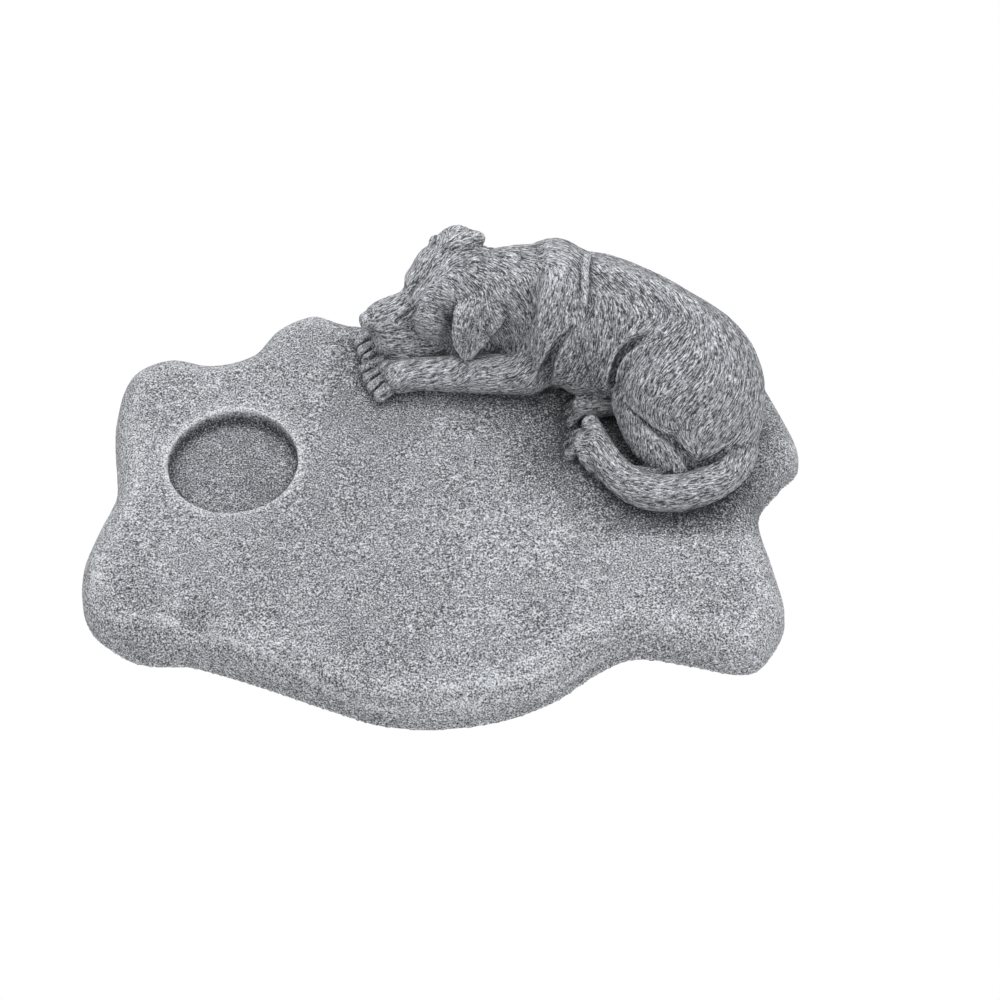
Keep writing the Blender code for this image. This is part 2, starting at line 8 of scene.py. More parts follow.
import math
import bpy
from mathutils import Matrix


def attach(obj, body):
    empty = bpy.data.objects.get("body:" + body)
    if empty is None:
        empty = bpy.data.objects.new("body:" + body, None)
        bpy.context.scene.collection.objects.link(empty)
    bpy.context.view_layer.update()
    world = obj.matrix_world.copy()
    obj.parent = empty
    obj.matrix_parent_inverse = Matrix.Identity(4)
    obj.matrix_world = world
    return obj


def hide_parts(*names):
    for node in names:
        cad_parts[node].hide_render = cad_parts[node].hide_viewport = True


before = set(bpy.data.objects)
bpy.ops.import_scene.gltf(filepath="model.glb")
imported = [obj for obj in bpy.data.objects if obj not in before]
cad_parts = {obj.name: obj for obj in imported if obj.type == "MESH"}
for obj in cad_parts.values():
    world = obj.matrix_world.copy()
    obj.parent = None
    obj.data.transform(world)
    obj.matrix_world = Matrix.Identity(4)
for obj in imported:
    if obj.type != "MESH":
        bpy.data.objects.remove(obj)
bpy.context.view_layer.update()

from concurrent.futures import ThreadPoolExecutor

import bpy
import numpy as np
from mathutils import Vector

# Driving sizes of the slab
SLAB_LENGTH = 0.225
SLAB_DEPTH = 0.170
SLAB_THICKNESS = 0.0150
SHOULDER_WIDTH = 0.0085
SHOULDER_DROP = 0.0095
WALL_TAPER = 0.10
TOP_SWELL = 0.0007

# Driving sizes of the candle recess
RECESS_DIAMETER = 0.041
RECESS_DEPTH = 0.005
RECESS_FILLET = 0.0012
RECESS_PLACE = (-0.601, 0.065)

# Driving sizes of the dog, from its paws to its rump
DOG_LENGTH = 0.1305
DOG_PLACE = (0.320, 0.541)
DOG_FOOT_BLEND = 0.0016

# Stations of the slab's edge, anticlockwise from the right. The curve through them is scaled to
# the slab's length and depth, so only their proportions count.
OUTLINE = [
    (113, 17), (106.8, 37), (99, 54.8), (85.5, 72.5), (64, 85), (38, 87), (14, 84), (-10, 76.5),
    (-30, 70.5), (-45.5, 75.5), (-58.5, 69), (-66, 58), (-78, 53.5), (-92.5, 56), (-105.7, 47.6),
    (-108.5, 28), (-106.5, 11), (-105.5, -1), (-109.6, -15), (-113, -31), (-109.4, -46.6),
    (-97.6, -57.2), (-88, -60.2), (-77, -60.4), (-56, -67.4), (-36, -75.2), (-18.5, -81.2), (0, -82.2),
    (17.5, -79.4), (33, -72.8), (46, -63), (58, -57.4), (74.5, -60), (88.2, -63), (96.4, -60.2),
    (104, -45.6), (101.6, -28), (98.6, -13), (99.4, -2.7), (107, 7.8),
]
OUTLINE_STEPS = 6

# Hills and hollows of the slab's top on the same grid: x, y, spread, and height as a share of the
# slab's thickness
TOP_RELIEF = [
    (-98, -50, 16, -0.2), (-75, -53, 7, -0.14), (-88, -36, 12, 0.05), (0, -72, 22, -0.06),
    (85, -48, 16, -0.08),
]

# The dog is laid out on a grid of its own, 132 units long, x and y as seen from above and the
# height above the slab. FIGURE_CENTRE is the point of that grid that stands at DOG_PLACE.
FIGURE_UNITS = 132.0
FIGURE_CENTRE = (36.0, 48.0)
FIGURE_HEIGHT = 46

# The box of that grid in which the dog's field is worked out, as middle and half size, and the
# distance in metres that stands for everything beyond it
FIGURE_MIDDLE = (36, 40, 20)
FIGURE_REACH = (75, 62, 40)
FAR_OFF = 0.02

# Stations (x, y, height, radius) of the tapered strands that the body is built from
TORSO = [
    (46, 48.5, 21, 21.6), (52, 45.5, 21.5, 21.3), (59.5, 40.5, 22, 21), (68, 34.5, 21.8, 20.5),
    (75.2, 28.5, 21.3, 20.5), (79.5, 22, 19.5, 20), (84.5, 14.5, 14, 14),
]
SPINE = [
    (30, 56, 38, 4), (41, 54.4, 39.8, 3.2), (52, 49.5, 40, 3.2), (61, 44.3, 41.4, 3.2),
    (70, 39, 41.8, 3.2), (78, 31.6, 40, 3.4), (84.4, 23, 32, 4), (89.2, 17, 25, 5), (91.4, 9, 16, 6),
]
FLANK = [
    (30, 54, 13, 17), (46, 54, 13, 17), (60, 49.5, 13, 17), (72, 42, 13, 17), (81, 31, 13, 16.5),
    (87, 19, 11, 12),
]
NECK = [(4, 62, 23.6, 12), (14, 60.2, 22.4, 13.7), (28, 56.5, 22.4, 18.1)]
WITHERS = ((34.5, 52.5, 20), (14.7, 22.3, 25.5))
BELLY = ((46, 38.5, 14.5), (13.5, 13, 14.5))
THIGH = ((71.5, 21, 20.7), (17.6, 18.4, 18.2))
BUTTOCK = ((78.5, 11, 14), (12, 13, 14))
TAIL = [
    (89, 14, 11, 9), (90.5, 5, 8, 7.2), (87, -2.5, 6.5, 6.2), (79, -8, 5.8, 5.9), (70, -10.3, 5.6, 5.8),
    (61, -9, 5.6, 5.7), (54, -4, 5.8, 5.3), (49.5, 3, 6.2, 4.8), (47, 10, 6.8, 4), (45.3, 16, 7.6, 3),
]
UPPER_ARM = [(38, 50, 28, 13), (33, 44, 19, 9.8), (26, 39, 8.5, 7.6)]
NEAR_FORELEG = [(25, 38.5, 7, 7.4), (10, 38.6, 6, 6.3), (-8, 39, 5.6, 5.5), (-16, 38, 5.2, 5.3)]
FAR_FORELEG = [(20, 52, 7, 7), (4, 51, 6, 6), (-10, 50.5, 5.6, 5.5), (-19, 49.6, 5.2, 5.2)]
SHIN = [(62.5, 19, 15.5, 11), (65.6, 8.6, 10.4, 9), (73, 1, 6.2, 6)]
NEAR_HIND_FOOT = [(72, 0, 4, 4.5), (58, -2.5, 3.2, 4), (47, 4.5, 3.6, 4.4), (43.4, 10.6, 4.2, 3.9)]
FAR_HIND_FOOT = [(60, 29, 6, 5.4), (51, 27.5, 6, 5.2), (45, 26, 5.6, 4.4), (43, 25.6, 5.4, 3.8)]

# Creases cut into the coat
SHOULDER_CREASE = [
    (46.4, 57, 43.2, 0.9), (45.4, 50.5, 44.4, 1.1), (45.4, 44.5, 43.3, 1.1), (44.6, 38, 41, 1),
    (42.5, 33.5, 37.5, 0.8),
]
SHOULDER_RIDGE = [
    (44.1, 56.5, 42.4, 1.4), (43.1, 50.5, 43.9, 1.3), (43.1, 44.5, 42.7, 1.2), (42.8, 38.5, 40, 0.9),
]
ARMPIT_CREASE = [
    (42, 33.2, 37, 0.6), (38, 32.2, 33.6, 1), (34.6, 31, 28.8, 1.3), (32.6, 31.2, 23, 1.7),
    (31.4, 32, 16, 2.4), (30, 32, 9, 3),
]
COLLAR_CREASE = [
    (25.5, 64, 43.6, 4.4), (24.8, 56, 44.8, 4.8), (24.2, 47.5, 42.6, 5), (23.4, 42.8, 36.4, 4.9),
    (22.8, 38.8, 29.8, 4.8), (20.3, 37.6, 22.5, 4.4), (17, 38.2, 16.5, 4),
]
NECK_HOLLOW = [(17, 43.5, 29, 2.6), (17.5, 40.5, 21, 4), (14, 41, 14, 3)]
THIGH_CREASE = [
    (70, 22, 41.2, 0.5), (65, 24.2, 40.2, 1), (60.2, 25.2, 38, 1.3), (56, 24.8, 34.2, 1.5),
    (53, 23.4, 28.3, 1.6), (52, 22.3, 20, 1.7),
]
SHIN_CREASE = [
    (55.5, 12.4, 21, 0.3), (61, 7.2, 20.4, 0.9), (67, 4, 17.4, 1.3), (71, 1.2, 15.5, 1.6),
    (74, -1, 13, 1.6), (75.5, -2, 10, 1.6),
]
TAIL_CREASE = [(76, -2.5, 8.5, 1.4), (80.5, -2, 10, 1.4), (84.5, -0.8, 12.5, 1.2), (87.5, -0.5, 16, 0.5)]

# The head has axes of its own: forward along the muzzle, to the dog's left, and up
HEAD_CENTRE = (2.0, 62.0, 24.0)
HEAD_YAW = math.radians(23.0)
HEAD_PITCH = math.radians(7.0)
HEAD_ROLL = math.radians(0.0)
SKULL = ((-1.5, 0, 0), (14.2, 13.2, 13))
MUZZLE = [(8, 0, -5, 8.8), (26, 0, -3.9, 6.5)]
JAW = [(3, 5, -13.6, 8.4), (22, 4.4, -13.8, 7)]
LIP = [(8, 5.8, -9.6, 6.6), (26, 3.7, -8.8, 5.6)]
MOUTH = [(29.5, 2.5, -12, 0.8), (26, 7, -13, 1), (20, 10, -14.2, 1), (12, 12, -15.2, 0.6)]
BROW = (10.8, 4.2, 2.8, 4.9)
CHEEK = ((12, 6.4, -3.2), (6.4, 6.2, 8.6))
FAR_CHEEK = ((9, -5, -4), (6.5, 4.6, 7.5))
CROWN = (3, 5.5, 4.7, 7.2)
TEMPLE = ((-2, 9.2, -4), (8, 5.5, 8))
NOSE = ((31.5, 0, -1.6), (2.4, 3.8, 3.2))
SOCKET = [(17.5, 6.8, 2.4, 1.6), (19.3, 8.7, -1.5, 2.4), (19.6, 10.8, -5.5, 2.4), (17.5, 12.2, -9.5, 1.8)]
EYELID = [(23, 5.4, -0.4, 0.8), (20.6, 5.4, 0.6, 1.2), (18.4, 5.5, 1.7, 1.6), (16.8, 5.8, 2.6, 1.2)]
FAR_BROW = [(5.8, -8.4, 3.3, 3.8), (7.6, -7.8, 0.1, 3.8)]
NOSE_CREASE = [(30.8, 0, 3.4, 0.5), (31.4, 2.6, 1.8, 0.6), (32.4, 4.2, -1.4, 0.9), (31.6, 4, -4.2, 0.7)]
NEAR_EAR = [
    (10.6, 52.5, 29.4, 8.6), (10.8, 48.4, 28.4, 10), (9.4, 44.5, 23.6, 9.2), (7.4, 41.8, 18.4, 6.2),
    (5.9, 40, 14.6, 2.6),
]
FAR_EAR = [
    (2, 64, 32, 5), (1.8, 68, 35.5, 5.6), (3.4, 72, 35.2, 5.8), (3, 76, 27.5, 7.2), (3.5, 77.5, 18, 4),
]
FAR_EAR_FOLD = ((2.6, 69, 34.8), (5.9, 6, 6.3))
FAR_EAR_LOBES = [(-4.6, 70, 34.7, 2.2), (9.2, 71, 35.2, 2.3)]
NEAR_EAR_FOLD = [(13.4, 47.8, 28.6, 2.2), (15.8, 45.4, 26, 2.1), (14.4, 43.6, 22.6, 1.3)]


def blend(a, b, reach):
    """The union of two distance fields, with a fillet about reach wide."""
    share = np.clip(0.5 + 0.5 * (b - a) / reach, 0.0, 1.0)
    return b + (a - b) * share - reach * share * (1.0 - share)


def carve(a, b, reach):
    """Field a with field b cut out of it, the edge eased by reach."""
    return -blend(-a, b, reach)


def ball(p, centre, radius):
    return np.linalg.norm(p - centre, axis=1) - radius


def egg(p, centre, radii):
    """An ellipsoid along the grid's axes."""
    radii = np.asarray(radii, float)
    q = p - centre
    near = np.linalg.norm(q / radii, axis=1)
    steep = np.linalg.norm(q / radii**2, axis=1)
    return near * (near - 1.0) / np.maximum(steep, 1e-9)


def rod(p, start, end):
    """A tapered rod with round ends; start and end are (x, y, height, radius)."""
    start, end = np.asarray(start, float), np.asarray(end, float)
    along = end[:3] - start[:3]
    share = np.clip((p - start[:3]) @ along / (along @ along), 0.0, 1.0)
    centre = start[:3] + share[:, None] * along
    return np.linalg.norm(p - centre, axis=1) - (start[3] + share * (end[3] - start[3]))


def catmull_rom(stations, steps, closed=False):
    """Points on a smooth curve through the stations."""
    knots = np.asarray(stations, float)
    if closed:
        knots = np.vstack([knots[-1:], knots, knots[:2]])
    else:
        knots = np.vstack([2 * knots[0] - knots[1], knots, 2 * knots[-1] - knots[-2]])
    curve = []
    for a, b, c, d in zip(knots, knots[1:], knots[2:], knots[3:]):
        for t in np.arange(steps) / steps:
            curve.append(
                0.5 * (2 * b + (c - a) * t + (2 * a - 5 * b + 4 * c - d) * t**2
                       + (3 * b - a - 3 * c + d) * t**3)
            )
    if not closed:
        curve.append(knots[-2])
    return np.array(curve)


def strand(p, stations, steps=3):
    """A smooth tapered strand through stations of (x, y, height, radius)."""
    curve = catmull_rom(stations, steps)
    field = rod(p, curve[0], curve[1])
    for start, end in zip(curve[1:], curve[2:]):
        field = np.minimum(field, rod(p, start, end))
    return field


def strap(p, stations, across, thickness):
    """A flat strap with round edges. Stations are (x, y, height, half width); across is the
    direction of its width."""
    across = np.asarray(across, float) / np.linalg.norm(across)
    field = np.full(len(p), np.inf)
    curve = catmull_rom(stations, 3)
    for start, end in zip(curve, curve[1:]):
        along = end[:3] - start[:3]
        share = np.clip((p - start[:3]) @ along / (along @ along), 0.0, 1.0)
        offset = p - (start[:3] + share[:, None] * along)
        wide = offset @ across
        deep = np.linalg.norm(offset - wide[:, None] * across, axis=1)
        half = start[3] + share * (end[3] - start[3]) - thickness / 2
        field = np.minimum(field, np.hypot(np.maximum(np.abs(wide) - half, 0.0), deep) - thickness / 2)
    return field


def head_axes():
    """The head's forward, left and up directions on the figure's grid."""
    forward = np.array([-math.cos(HEAD_YAW) * math.cos(HEAD_PITCH),
                        -math.sin(HEAD_YAW) * math.cos(HEAD_PITCH), -math.sin(HEAD_PITCH)])
    level_left = np.array([math.sin(HEAD_YAW), -math.cos(HEAD_YAW), 0.0])
    level_up = np.cross(forward, level_left)
    left = math.cos(HEAD_ROLL) * level_left + math.sin(HEAD_ROLL) * level_up
    return np.array([forward, left, np.cross(forward, left)])


def head_field(p):
    """The skull, muzzle, brows, cheeks, nose and closed eyes."""
    q = (p - HEAD_CENTRE) @ head_axes().T
    both = q.copy()
    both[:, 1] = np.abs(q[:, 1])
    field = blend(egg(q, *SKULL), rod(q, *MUZZLE), 4)
    field = blend(field, rod(both, *JAW), 2)
    field = blend(field, rod(both, *LIP), 1.5)
    field = carve(field, strand(both, MOUTH), 1)
    field = blend(field, ball(both, BROW[:3], BROW[3]), 4)
    field = blend(field, ball(both, CROWN[:3], CROWN[3]), 4)
    field = blend(field, egg(both, *TEMPLE), 2.5)
    field = blend(field, rod(q, *FAR_BROW), 3)
    field = blend(field, egg(q, *FAR_CHEEK), 2)
    field = carve(field, strand(both, SOCKET), 3)
    field = blend(field, egg(q, *CHEEK), 1.5)
    field = blend(field, egg(q, *NOSE), 0.8)
    field = carve(field, strand(both, NOSE_CREASE), 0.6)
    return carve(field, strand(both, EYELID), 0.8)


def ears_field(p):
    """The near ear hangs over the cheek and the far one over the other side of the head."""
    forward = head_axes()[0]
    far = blend(strap(p, FAR_EAR, (1, 0, -0.1), 4), egg(p, *FAR_EAR_FOLD), 2)
    for lobe in FAR_EAR_LOBES:
        far = blend(far, ball(p, lobe[:3], lobe[3]), 2)
    near = blend(strap(p, NEAR_EAR, forward, 4.4), strand(p, NEAR_EAR_FOLD), 1.6)
    return np.minimum(near, far)


def paw(p, wrist, knuckles, heading, pitch, count=4, reach=5.5):
    """A paw: toes that fan out from the knuckles down to their tips, with slits between them."""
    heading = np.asarray(heading, float) / np.linalg.norm(heading)
    ahead = np.array([heading[0], heading[1], 0.0])
    aside = np.array([-heading[1], heading[0], 0.0])
    middle = np.asarray(knuckles, float)
    pad = count * pitch * 0.34
    field = rod(p, wrist, (*(middle - 2.2 * ahead), wrist[3] * 0.84))
    field = blend(field, egg(p, (*(middle + ahead)[:2], 0.8), (pad, pad, 3.2)), 1)
    for i in range(count):
        offset = (i - (count - 1) / 2) * pitch
        root = middle + aside * offset * 0.76 - ahead * 1.2
        tip = middle + aside * offset + ahead * (reach - abs(offset) * 0.16)
        tip[2] = pitch * 0.45
        field = blend(field, rod(p, (*root, pitch * 0.6), (*tip, pitch * 0.56)), 0.5)
    for i in range(count - 1):
        offset = (i + 1 - count / 2) * pitch
        start = middle + aside * offset * 0.9 + ahead * 2 + (0, 0, pitch * 0.2)
        end = middle + aside * offset * 1.04 + ahead * (reach + 2.5)
        end[2] = 0.0
        field = carve(field, rod(p, (*start, 0.65), (*end, 1.0)), 0.2)
    return field


def dog_field(p):
    """The whole dog as one distance field on the figure's grid."""
    torso = strand(p, TORSO)
    body = blend(torso, strand(p, SPINE), 4)
    body = blend(body, strand(p, NECK), 1.5)
    body = blend(body, strand(p, FLANK), 5)
    body = blend(body, egg(p, *WITHERS), 4)
    body = blend(body, egg(p, *BELLY), 2)
    body = carve(body, strand(p, NECK_HOLLOW), 4)
    body = blend(body, strand(p, UPPER_ARM), 1.5)
    body = carve(body, strand(p, COLLAR_CREASE), 3)
    body = blend(body, egg(p, *BUTTOCK), 3)
    body = carve(body, strand(p, SHOULDER_CREASE), 2.5)
    body = blend(body, strand(p, SHOULDER_RIDGE), 0.8)
    body = carve(body, strand(p, ARMPIT_CREASE), 1.2)
    body = carve(body, strand(p, THIGH_CREASE), 1.6)
    body = blend(body, egg(p, *THIGH), 0.5)
    body = blend(body, strand(p, SHIN), 1.2)
    body = carve(body, strand(p, SHIN_CREASE), 1)
    field = blend(body, strand(p, TAIL), 1.2)
    field = carve(field, strand(p, TAIL_CREASE), 1)
    field = blend(field, strand(p, NEAR_HIND_FOOT), 0.8)
    field = blend(field, strand(p, FAR_HIND_FOOT), 1.2)
    field = blend(field, strand(p, NEAR_FORELEG), 2)
    field = blend(field, strand(p, FAR_FORELEG), 2)
    field = blend(field, paw(p, (-14, 38.4, 5.4, 5.2), (-20.8, 40.6, 4.2), (-1, -0.45), 4.1), 0.6)
    field = blend(field, paw(p, (-18, 50.2, 6, 5.4), (-22.8, 52, 4.8), (-1, -0.4), 4.2), 0.6)
    field = blend(field, paw(p, (45, 9.6, 4.4, 3.9), (41, 12.2, 4.6), (-1, 0.1), 3.3, 3, 2.6), 0.6)
    field = blend(field, paw(p, (45, 25.6, 5.2, 3.9), (41, 25.8, 4.9), (-1, -0.1), 2.9, 3, 2.4), 0.6)
    field = blend(field, head_field(p), 1.6)
    return blend(field, ears_field(p), 0.9)


def lumps(x, y, size, seed):
    """Smooth noise from -1 to 1 in the plane, with hills about size across."""
    lattice = np.random.default_rng(seed).uniform(-1, 1, (64, 64))
    u, v = x / size + 32, y / size + 32
    i, j = np.floor(u).astype(int), np.floor(v).astype(int)
    s, t = u - i, v - j
    s, t = s * s * (3 - 2 * s), t * t * (3 - 2 * t)
    i, j = i % 63, j % 63
    near = lattice[i, j] * (1 - s) + lattice[i + 1, j] * s
    far = lattice[i, j + 1] * (1 - s) + lattice[i + 1, j + 1] * s
    return near * (1 - t) + far * t


def slab_outline():
    """The slab's edge as points, scaled to its length and depth and centred on the origin."""
    curve = catmull_rom(OUTLINE, OUTLINE_STEPS, closed=True)
    return on_slab(curve, curve)


def on_slab(points, curve):
    """Points of the outline's grid in metres, so that the curve spans the slab's two sizes."""
    low, high = curve.min(0), curve.max(0)
    return (points - (low + high) / 2) / (high - low) * (SLAB_LENGTH, SLAB_DEPTH)


def relief(x, y):
    """Height of the slab's gently uneven top above its thickness."""
    curve = catmull_rom(OUTLINE, OUTLINE_STEPS, closed=True)
    places = on_slab(np.array([hill[:2] for hill in TOP_RELIEF], float), curve)
    unit = SLAB_LENGTH / np.ptp(curve[:, 0])
    height = TOP_SWELL * lumps(x, y, 0.03, 3)
    for (cx, cy), (_, _, spread, share) in zip(places, TOP_RELIEF):
        away = ((x - cx) ** 2 + (y - cy) ** 2) / (spread * unit) ** 2
        height = height + share * SLAB_THICKNESS * np.exp(-away)
    return height


def outline_distance(x, y, outline):
    """Distance to the slab's edge in plan, negative inside."""
    nearest = np.full(len(x), np.inf)
    crossings = np.zeros(len(x), bool)
    for (ax, ay), (bx, by) in zip(outline, np.roll(outline, -1, axis=0)):
        dx, dy = bx - ax, by - ay
        share = np.clip(((x - ax) * dx + (y - ay) * dy) / (dx * dx + dy * dy), 0.0, 1.0)
        nearest = np.minimum(nearest, (x - ax - share * dx) ** 2 + (y - ay - share * dy) ** 2)
        if ay != by:
            crossings ^= ((ay > y) != (by > y)) & (x < ax + (y - ay) / dy * dx)
    return np.where(crossings, -1.0, 1.0) * np.sqrt(nearest)


def slab_field(p, outline):
    """The slab, with a leaning wall, an elliptical shoulder and a gently uneven top."""
    x, y, z = p.T
    edge = outline_distance(x, y, outline) + WALL_TAPER * z
    top = z - SLAB_THICKNESS - relief(x, y)
    wide = np.maximum(edge + SHOULDER_WIDTH, 0.0) / SHOULDER_WIDTH
    high = np.maximum(top + SHOULDER_DROP, 0.0) / SHOULDER_DROP
    corner = (np.hypot(wide, high) - 1.0) * SHOULDER_WIDTH
    return np.where((wide > 0) & (high > 0), corner, np.maximum(edge, top))


def figure_grid(p):
    """Points of the frame on the dog's own grid."""
    unit = DOG_LENGTH / FIGURE_UNITS
    place = np.array([DOG_PLACE[0] * SLAB_LENGTH / 2, DOG_PLACE[1] * SLAB_DEPTH / 2, SLAB_THICKNESS])
    return (p - place) / unit + (*FIGURE_CENTRE, 0.0)


def dog_distance(p):
    """Distance to the dog alone in metres, at most FAR_OFF."""
    grid = figure_grid(p)
    dog = np.full(len(p), FAR_OFF)
    near = (np.abs(grid - FIGURE_MIDDLE) < FIGURE_REACH).all(axis=1)
    dog[near] = dog_field(grid[near]) * DOG_LENGTH / FIGURE_UNITS
    return np.minimum(dog, FAR_OFF)


def statue_field(p, outline):
    """The dog and the slab in metres, joined by a small fillet."""
    return blend(slab_field(p, outline), dog_distance(p), DOG_FOOT_BLEND)


def sampled(field, axes, block=4):
    """The field on a grid. Blocks of points far from the surface take their middle's value."""
    middles, blocks = [], []
    for axis in axes:
        number = np.arange(len(axis)) // block
        blocks.append(number)
        middles.append(np.bincount(number, axis) / np.bincount(number))
    step = axes[0][1] - axes[0][0]
    coarse = field(np.stack(np.meshgrid(*middles, indexing="ij"), axis=-1).reshape(-1, 3))
    coarse = coarse.reshape([len(middle) for middle in middles])
    values = coarse[np.ix_(*blocks)]
    at = np.argwhere(np.abs(values) < block * step)
    values[tuple(at.T)] = field(np.stack([axis[at[:, k]] for k, axis in enumerate(axes)], axis=1))
    return values


def closed_up(values, depth):
    """Fills each grid face or cell whose corners inside meet only across a diagonal, so that the
    surface through it doesn't touch itself."""
    for _ in range(8):
        inside = values < 0
        fill = np.zeros(inside.shape, bool)
        for axis in range(3):
            square = np.moveaxis(inside, axis, 0)
            filled = np.moveaxis(fill, axis, 0)
            a, b, c, d = square[:, :-1, :-1], square[:, 1:, :-1], square[:, :-1, 1:], square[:, 1:, 1:]
            crossed = (a & d & ~b & ~c) | (b & c & ~a & ~d)
            filled[:, :-1, :-1] |= crossed
            filled[:, 1:, :-1] |= crossed
            filled[:, :-1, 1:] |= crossed
            filled[:, 1:, 1:] |= crossed
        corner = [inside[i:inside.shape[0] - 1 + i, j:inside.shape[1] - 1 + j, k:inside.shape[2] - 1 + k]
                  for i in (0, 1) for j in (0, 1) for k in (0, 1)]
        count = sum(part.astype(int) for part in corner)
        opposite = np.zeros(count.shape, bool)
        for i in range(4):
            same = corner[i] == corner[7 - i]
            opposite |= same & (count == np.where(corner[i], 2, 6))
        for i in (0, 1):
            for j in (0, 1):
                for k in (0, 1):
                    ends = [size - 1 + shift for size, shift in zip(fill.shape, (i, j, k))]
                    fill[i:ends[0], j:ends[1], k:ends[2]] |= opposite
        fill &= ~inside
        if not fill.any():
            break
        values = np.where(fill, -depth, values)
    return values


def surface_net(field, low, high, step):
    """Points and quads of the zero surface of a field, one point in each grid cell it crosses."""
    axes = [np.arange(a, b + step, step) for a, b in zip(low, high)]
    shape = tuple(len(axis) for axis in axes)
    values = closed_up(sampled(field, axes), step * 0.2)
    inside = values < 0
    cells = tuple(n - 1 for n in shape)
    total = np.zeros((cells[0] * cells[1] * cells[2], 3))
    count = np.zeros(len(total))
    rings = []
    for axis in range(3):
        first = [slice(None)] * 3
        second = [slice(None)] * 3
        first[axis], second[axis] = slice(None, -1), slice(1, None)
        first, second = tuple(first), tuple(second)
        at = np.argwhere(inside[first] != inside[second])
        b, c = (axis + 1) % 3, (axis + 2) % 3
        at = at[(at[:, b] > 0) & (at[:, b] < shape[b] - 1) & (at[:, c] > 0) & (at[:, c] < shape[c] - 1)]
        start = values[first][tuple(at.T)]
        share = start / (start - values[second][tuple(at.T)])
        point = np.stack([axes[k][at[:, k]] for k in range(3)], axis=1)
        point[:, axis] += share * step
        ring = []
        for db, dc in ((0, 0), (1, 0), (1, 1), (0, 1)):
            cell = at.copy()
            cell[:, b] -= db
            cell[:, c] -= dc
            index = np.ravel_multi_index(cell.T, cells)
            np.add.at(total, index, point)
            np.add.at(count, index, 1)
            ring.append(index)
        ring = np.stack(ring, axis=1)
        rings.append(np.where((start < 0)[:, None], ring, ring[:, ::-1]))
    used = np.flatnonzero(count)
    number = np.full(len(total), -1)
    number[used] = np.arange(len(used))
    return total[used] / count[used, None], number[np.vstack(rings)]


def one_shell(points, quads):
    """The largest connected surface, without any closed void that is left inside it."""
    label = np.arange(len(points))
    joined = np.zeros(len(points), int)
    while (joined != label).any():
        joined = label.copy()
        np.minimum.at(label, quads.ravel(), np.repeat(label[quads].min(axis=1), 4))
        label = label[label]
    kept = label == np.bincount(label).argmax()
    number = np.cumsum(kept) - 1
    return points[kept], number[quads[kept[quads[:, 0]]]]


# Fineness of the visual mesh: STEP everywhere, half of it on the dog, thinned to TRIANGLES at last
STEP = 0.00080
TRIANGLES = 196000
HEIGHT = SLAB_THICKNESS + FIGURE_HEIGHT * DOG_LENGTH / FIGURE_UNITS
THREADS = 4

# The easing of the recess's rim, and the noise lattice's points each way
RIM_EASE = 0.0006
LATTICE = 64

# The lay of the coat: places on the dog's grid, and the way that the hair runs there
LAY = [
    # muzzle, forehead, cheek and skull
    ((-24, 52, 22), (1, 0.5, 0.2)), ((-14, 53, 24), (1, 0.6, 0.3)), ((-8, 50, 16), (1, 0.2, -0.2)),
    ((-8, 60, 32), (1, 1, 0.6)), ((0, 60, 38), (1, 1.1, 0)), ((-2, 50, 26), (1, -0.1, -0.5)),
    ((-16, 46, 12), (1, 0.1, 0)), ((6, 62, 38), (1, 0.5, -0.1)), ((4, 54, 34), (1, -0.8, -0.6)),
    # ears
    ((8, 44, 28), (-0.4, -0.5, -1)), ((7, 40, 17), (-0.3, -0.4, -1)), ((2, 74, 36), (0.2, 1, -0.6)),
    # neck
    ((14, 60, 38), (1, -1, -0.1)), ((18, 46, 30), (1, -0.4, -1)), ((16, 42, 20), (0.8, -0.2, -1)),
    ((16, 74, 28), (1, 0.2, -0.6)),
    # withers, shoulder and arm
    ((34, 56, 44), (1, -0.4, 0)), ((34, 44, 38), (-0.3, -0.7, -0.8)), ((30, 34, 26), (-0.5, -0.4, -1)),
    ((26, 32, 14), (-0.8, -0.2, -0.8)), ((34, 74, 30), (1, 0.2, -0.7)),
    # back and flank
    ((46, 52, 43), (1, -1.2, 0)), ((56, 46, 43), (1, -1.2, -0.1)), ((66, 40, 43), (1, -1.4, -0.2)),
    ((74, 34, 42), (0.6, -1.2, -0.3)), ((48, 34, 34), (0.15, -0.5, -1)), ((46, 27, 20), (-0.4, -0.3, -1)),
    ((58, 66, 26), (1, -0.2, -0.7)), ((76, 54, 26), (0.8, -0.8, -0.6)), ((92, 38, 26), (0.4, -1, -0.5)),
    ((60, 34, 40), (0.5, -1.1, -0.5)), ((82, 22, 36), (0.1, -1, -0.6)), ((92, 14, 24), (-0.2, -1, -0.6)),
    # thigh, buttock and shin
    ((62, 28, 38), (-1, -0.9, -0.2)), ((70, 26, 40), (-1, -1, 0)), ((56, 20, 28), (-0.4, -0.5, -0.9)),
    ((72, 12, 34), (-0.9, -0.8, -0.6)), ((82, 6, 24), (-0.7, -0.9, -0.8)), ((60, 8, 16), (0, -0.7, -0.8)),
    ((72, 2, 14), (0.5, -0.7, -0.6)),
    # tail
    ((90, 2, 12), (-0.3, -1, -0.4)), ((79, -10, 10), (-1, -0.2, 0)), ((61, -11, 8), (-1, 0.2, 0)),
    ((50, 2, 9), (-0.5, 1, 0)),
    # forelegs and feet
    ((14, 34, 10), (-1, -0.1, -0.1)), ((-6, 36, 11), (-1, -0.2, -0.1)), ((-22, 36, 8), (-1, -0.4, -0.8)),
    ((-26, 48, 8), (-1, -0.4, -0.8)), ((-10, 48, 10), (-1, 0, 0)), ((48, 26, 10), (-1, -0.1, 0)),
    ((40, 12, 8), (-1, 0.2, -0.5)),
]

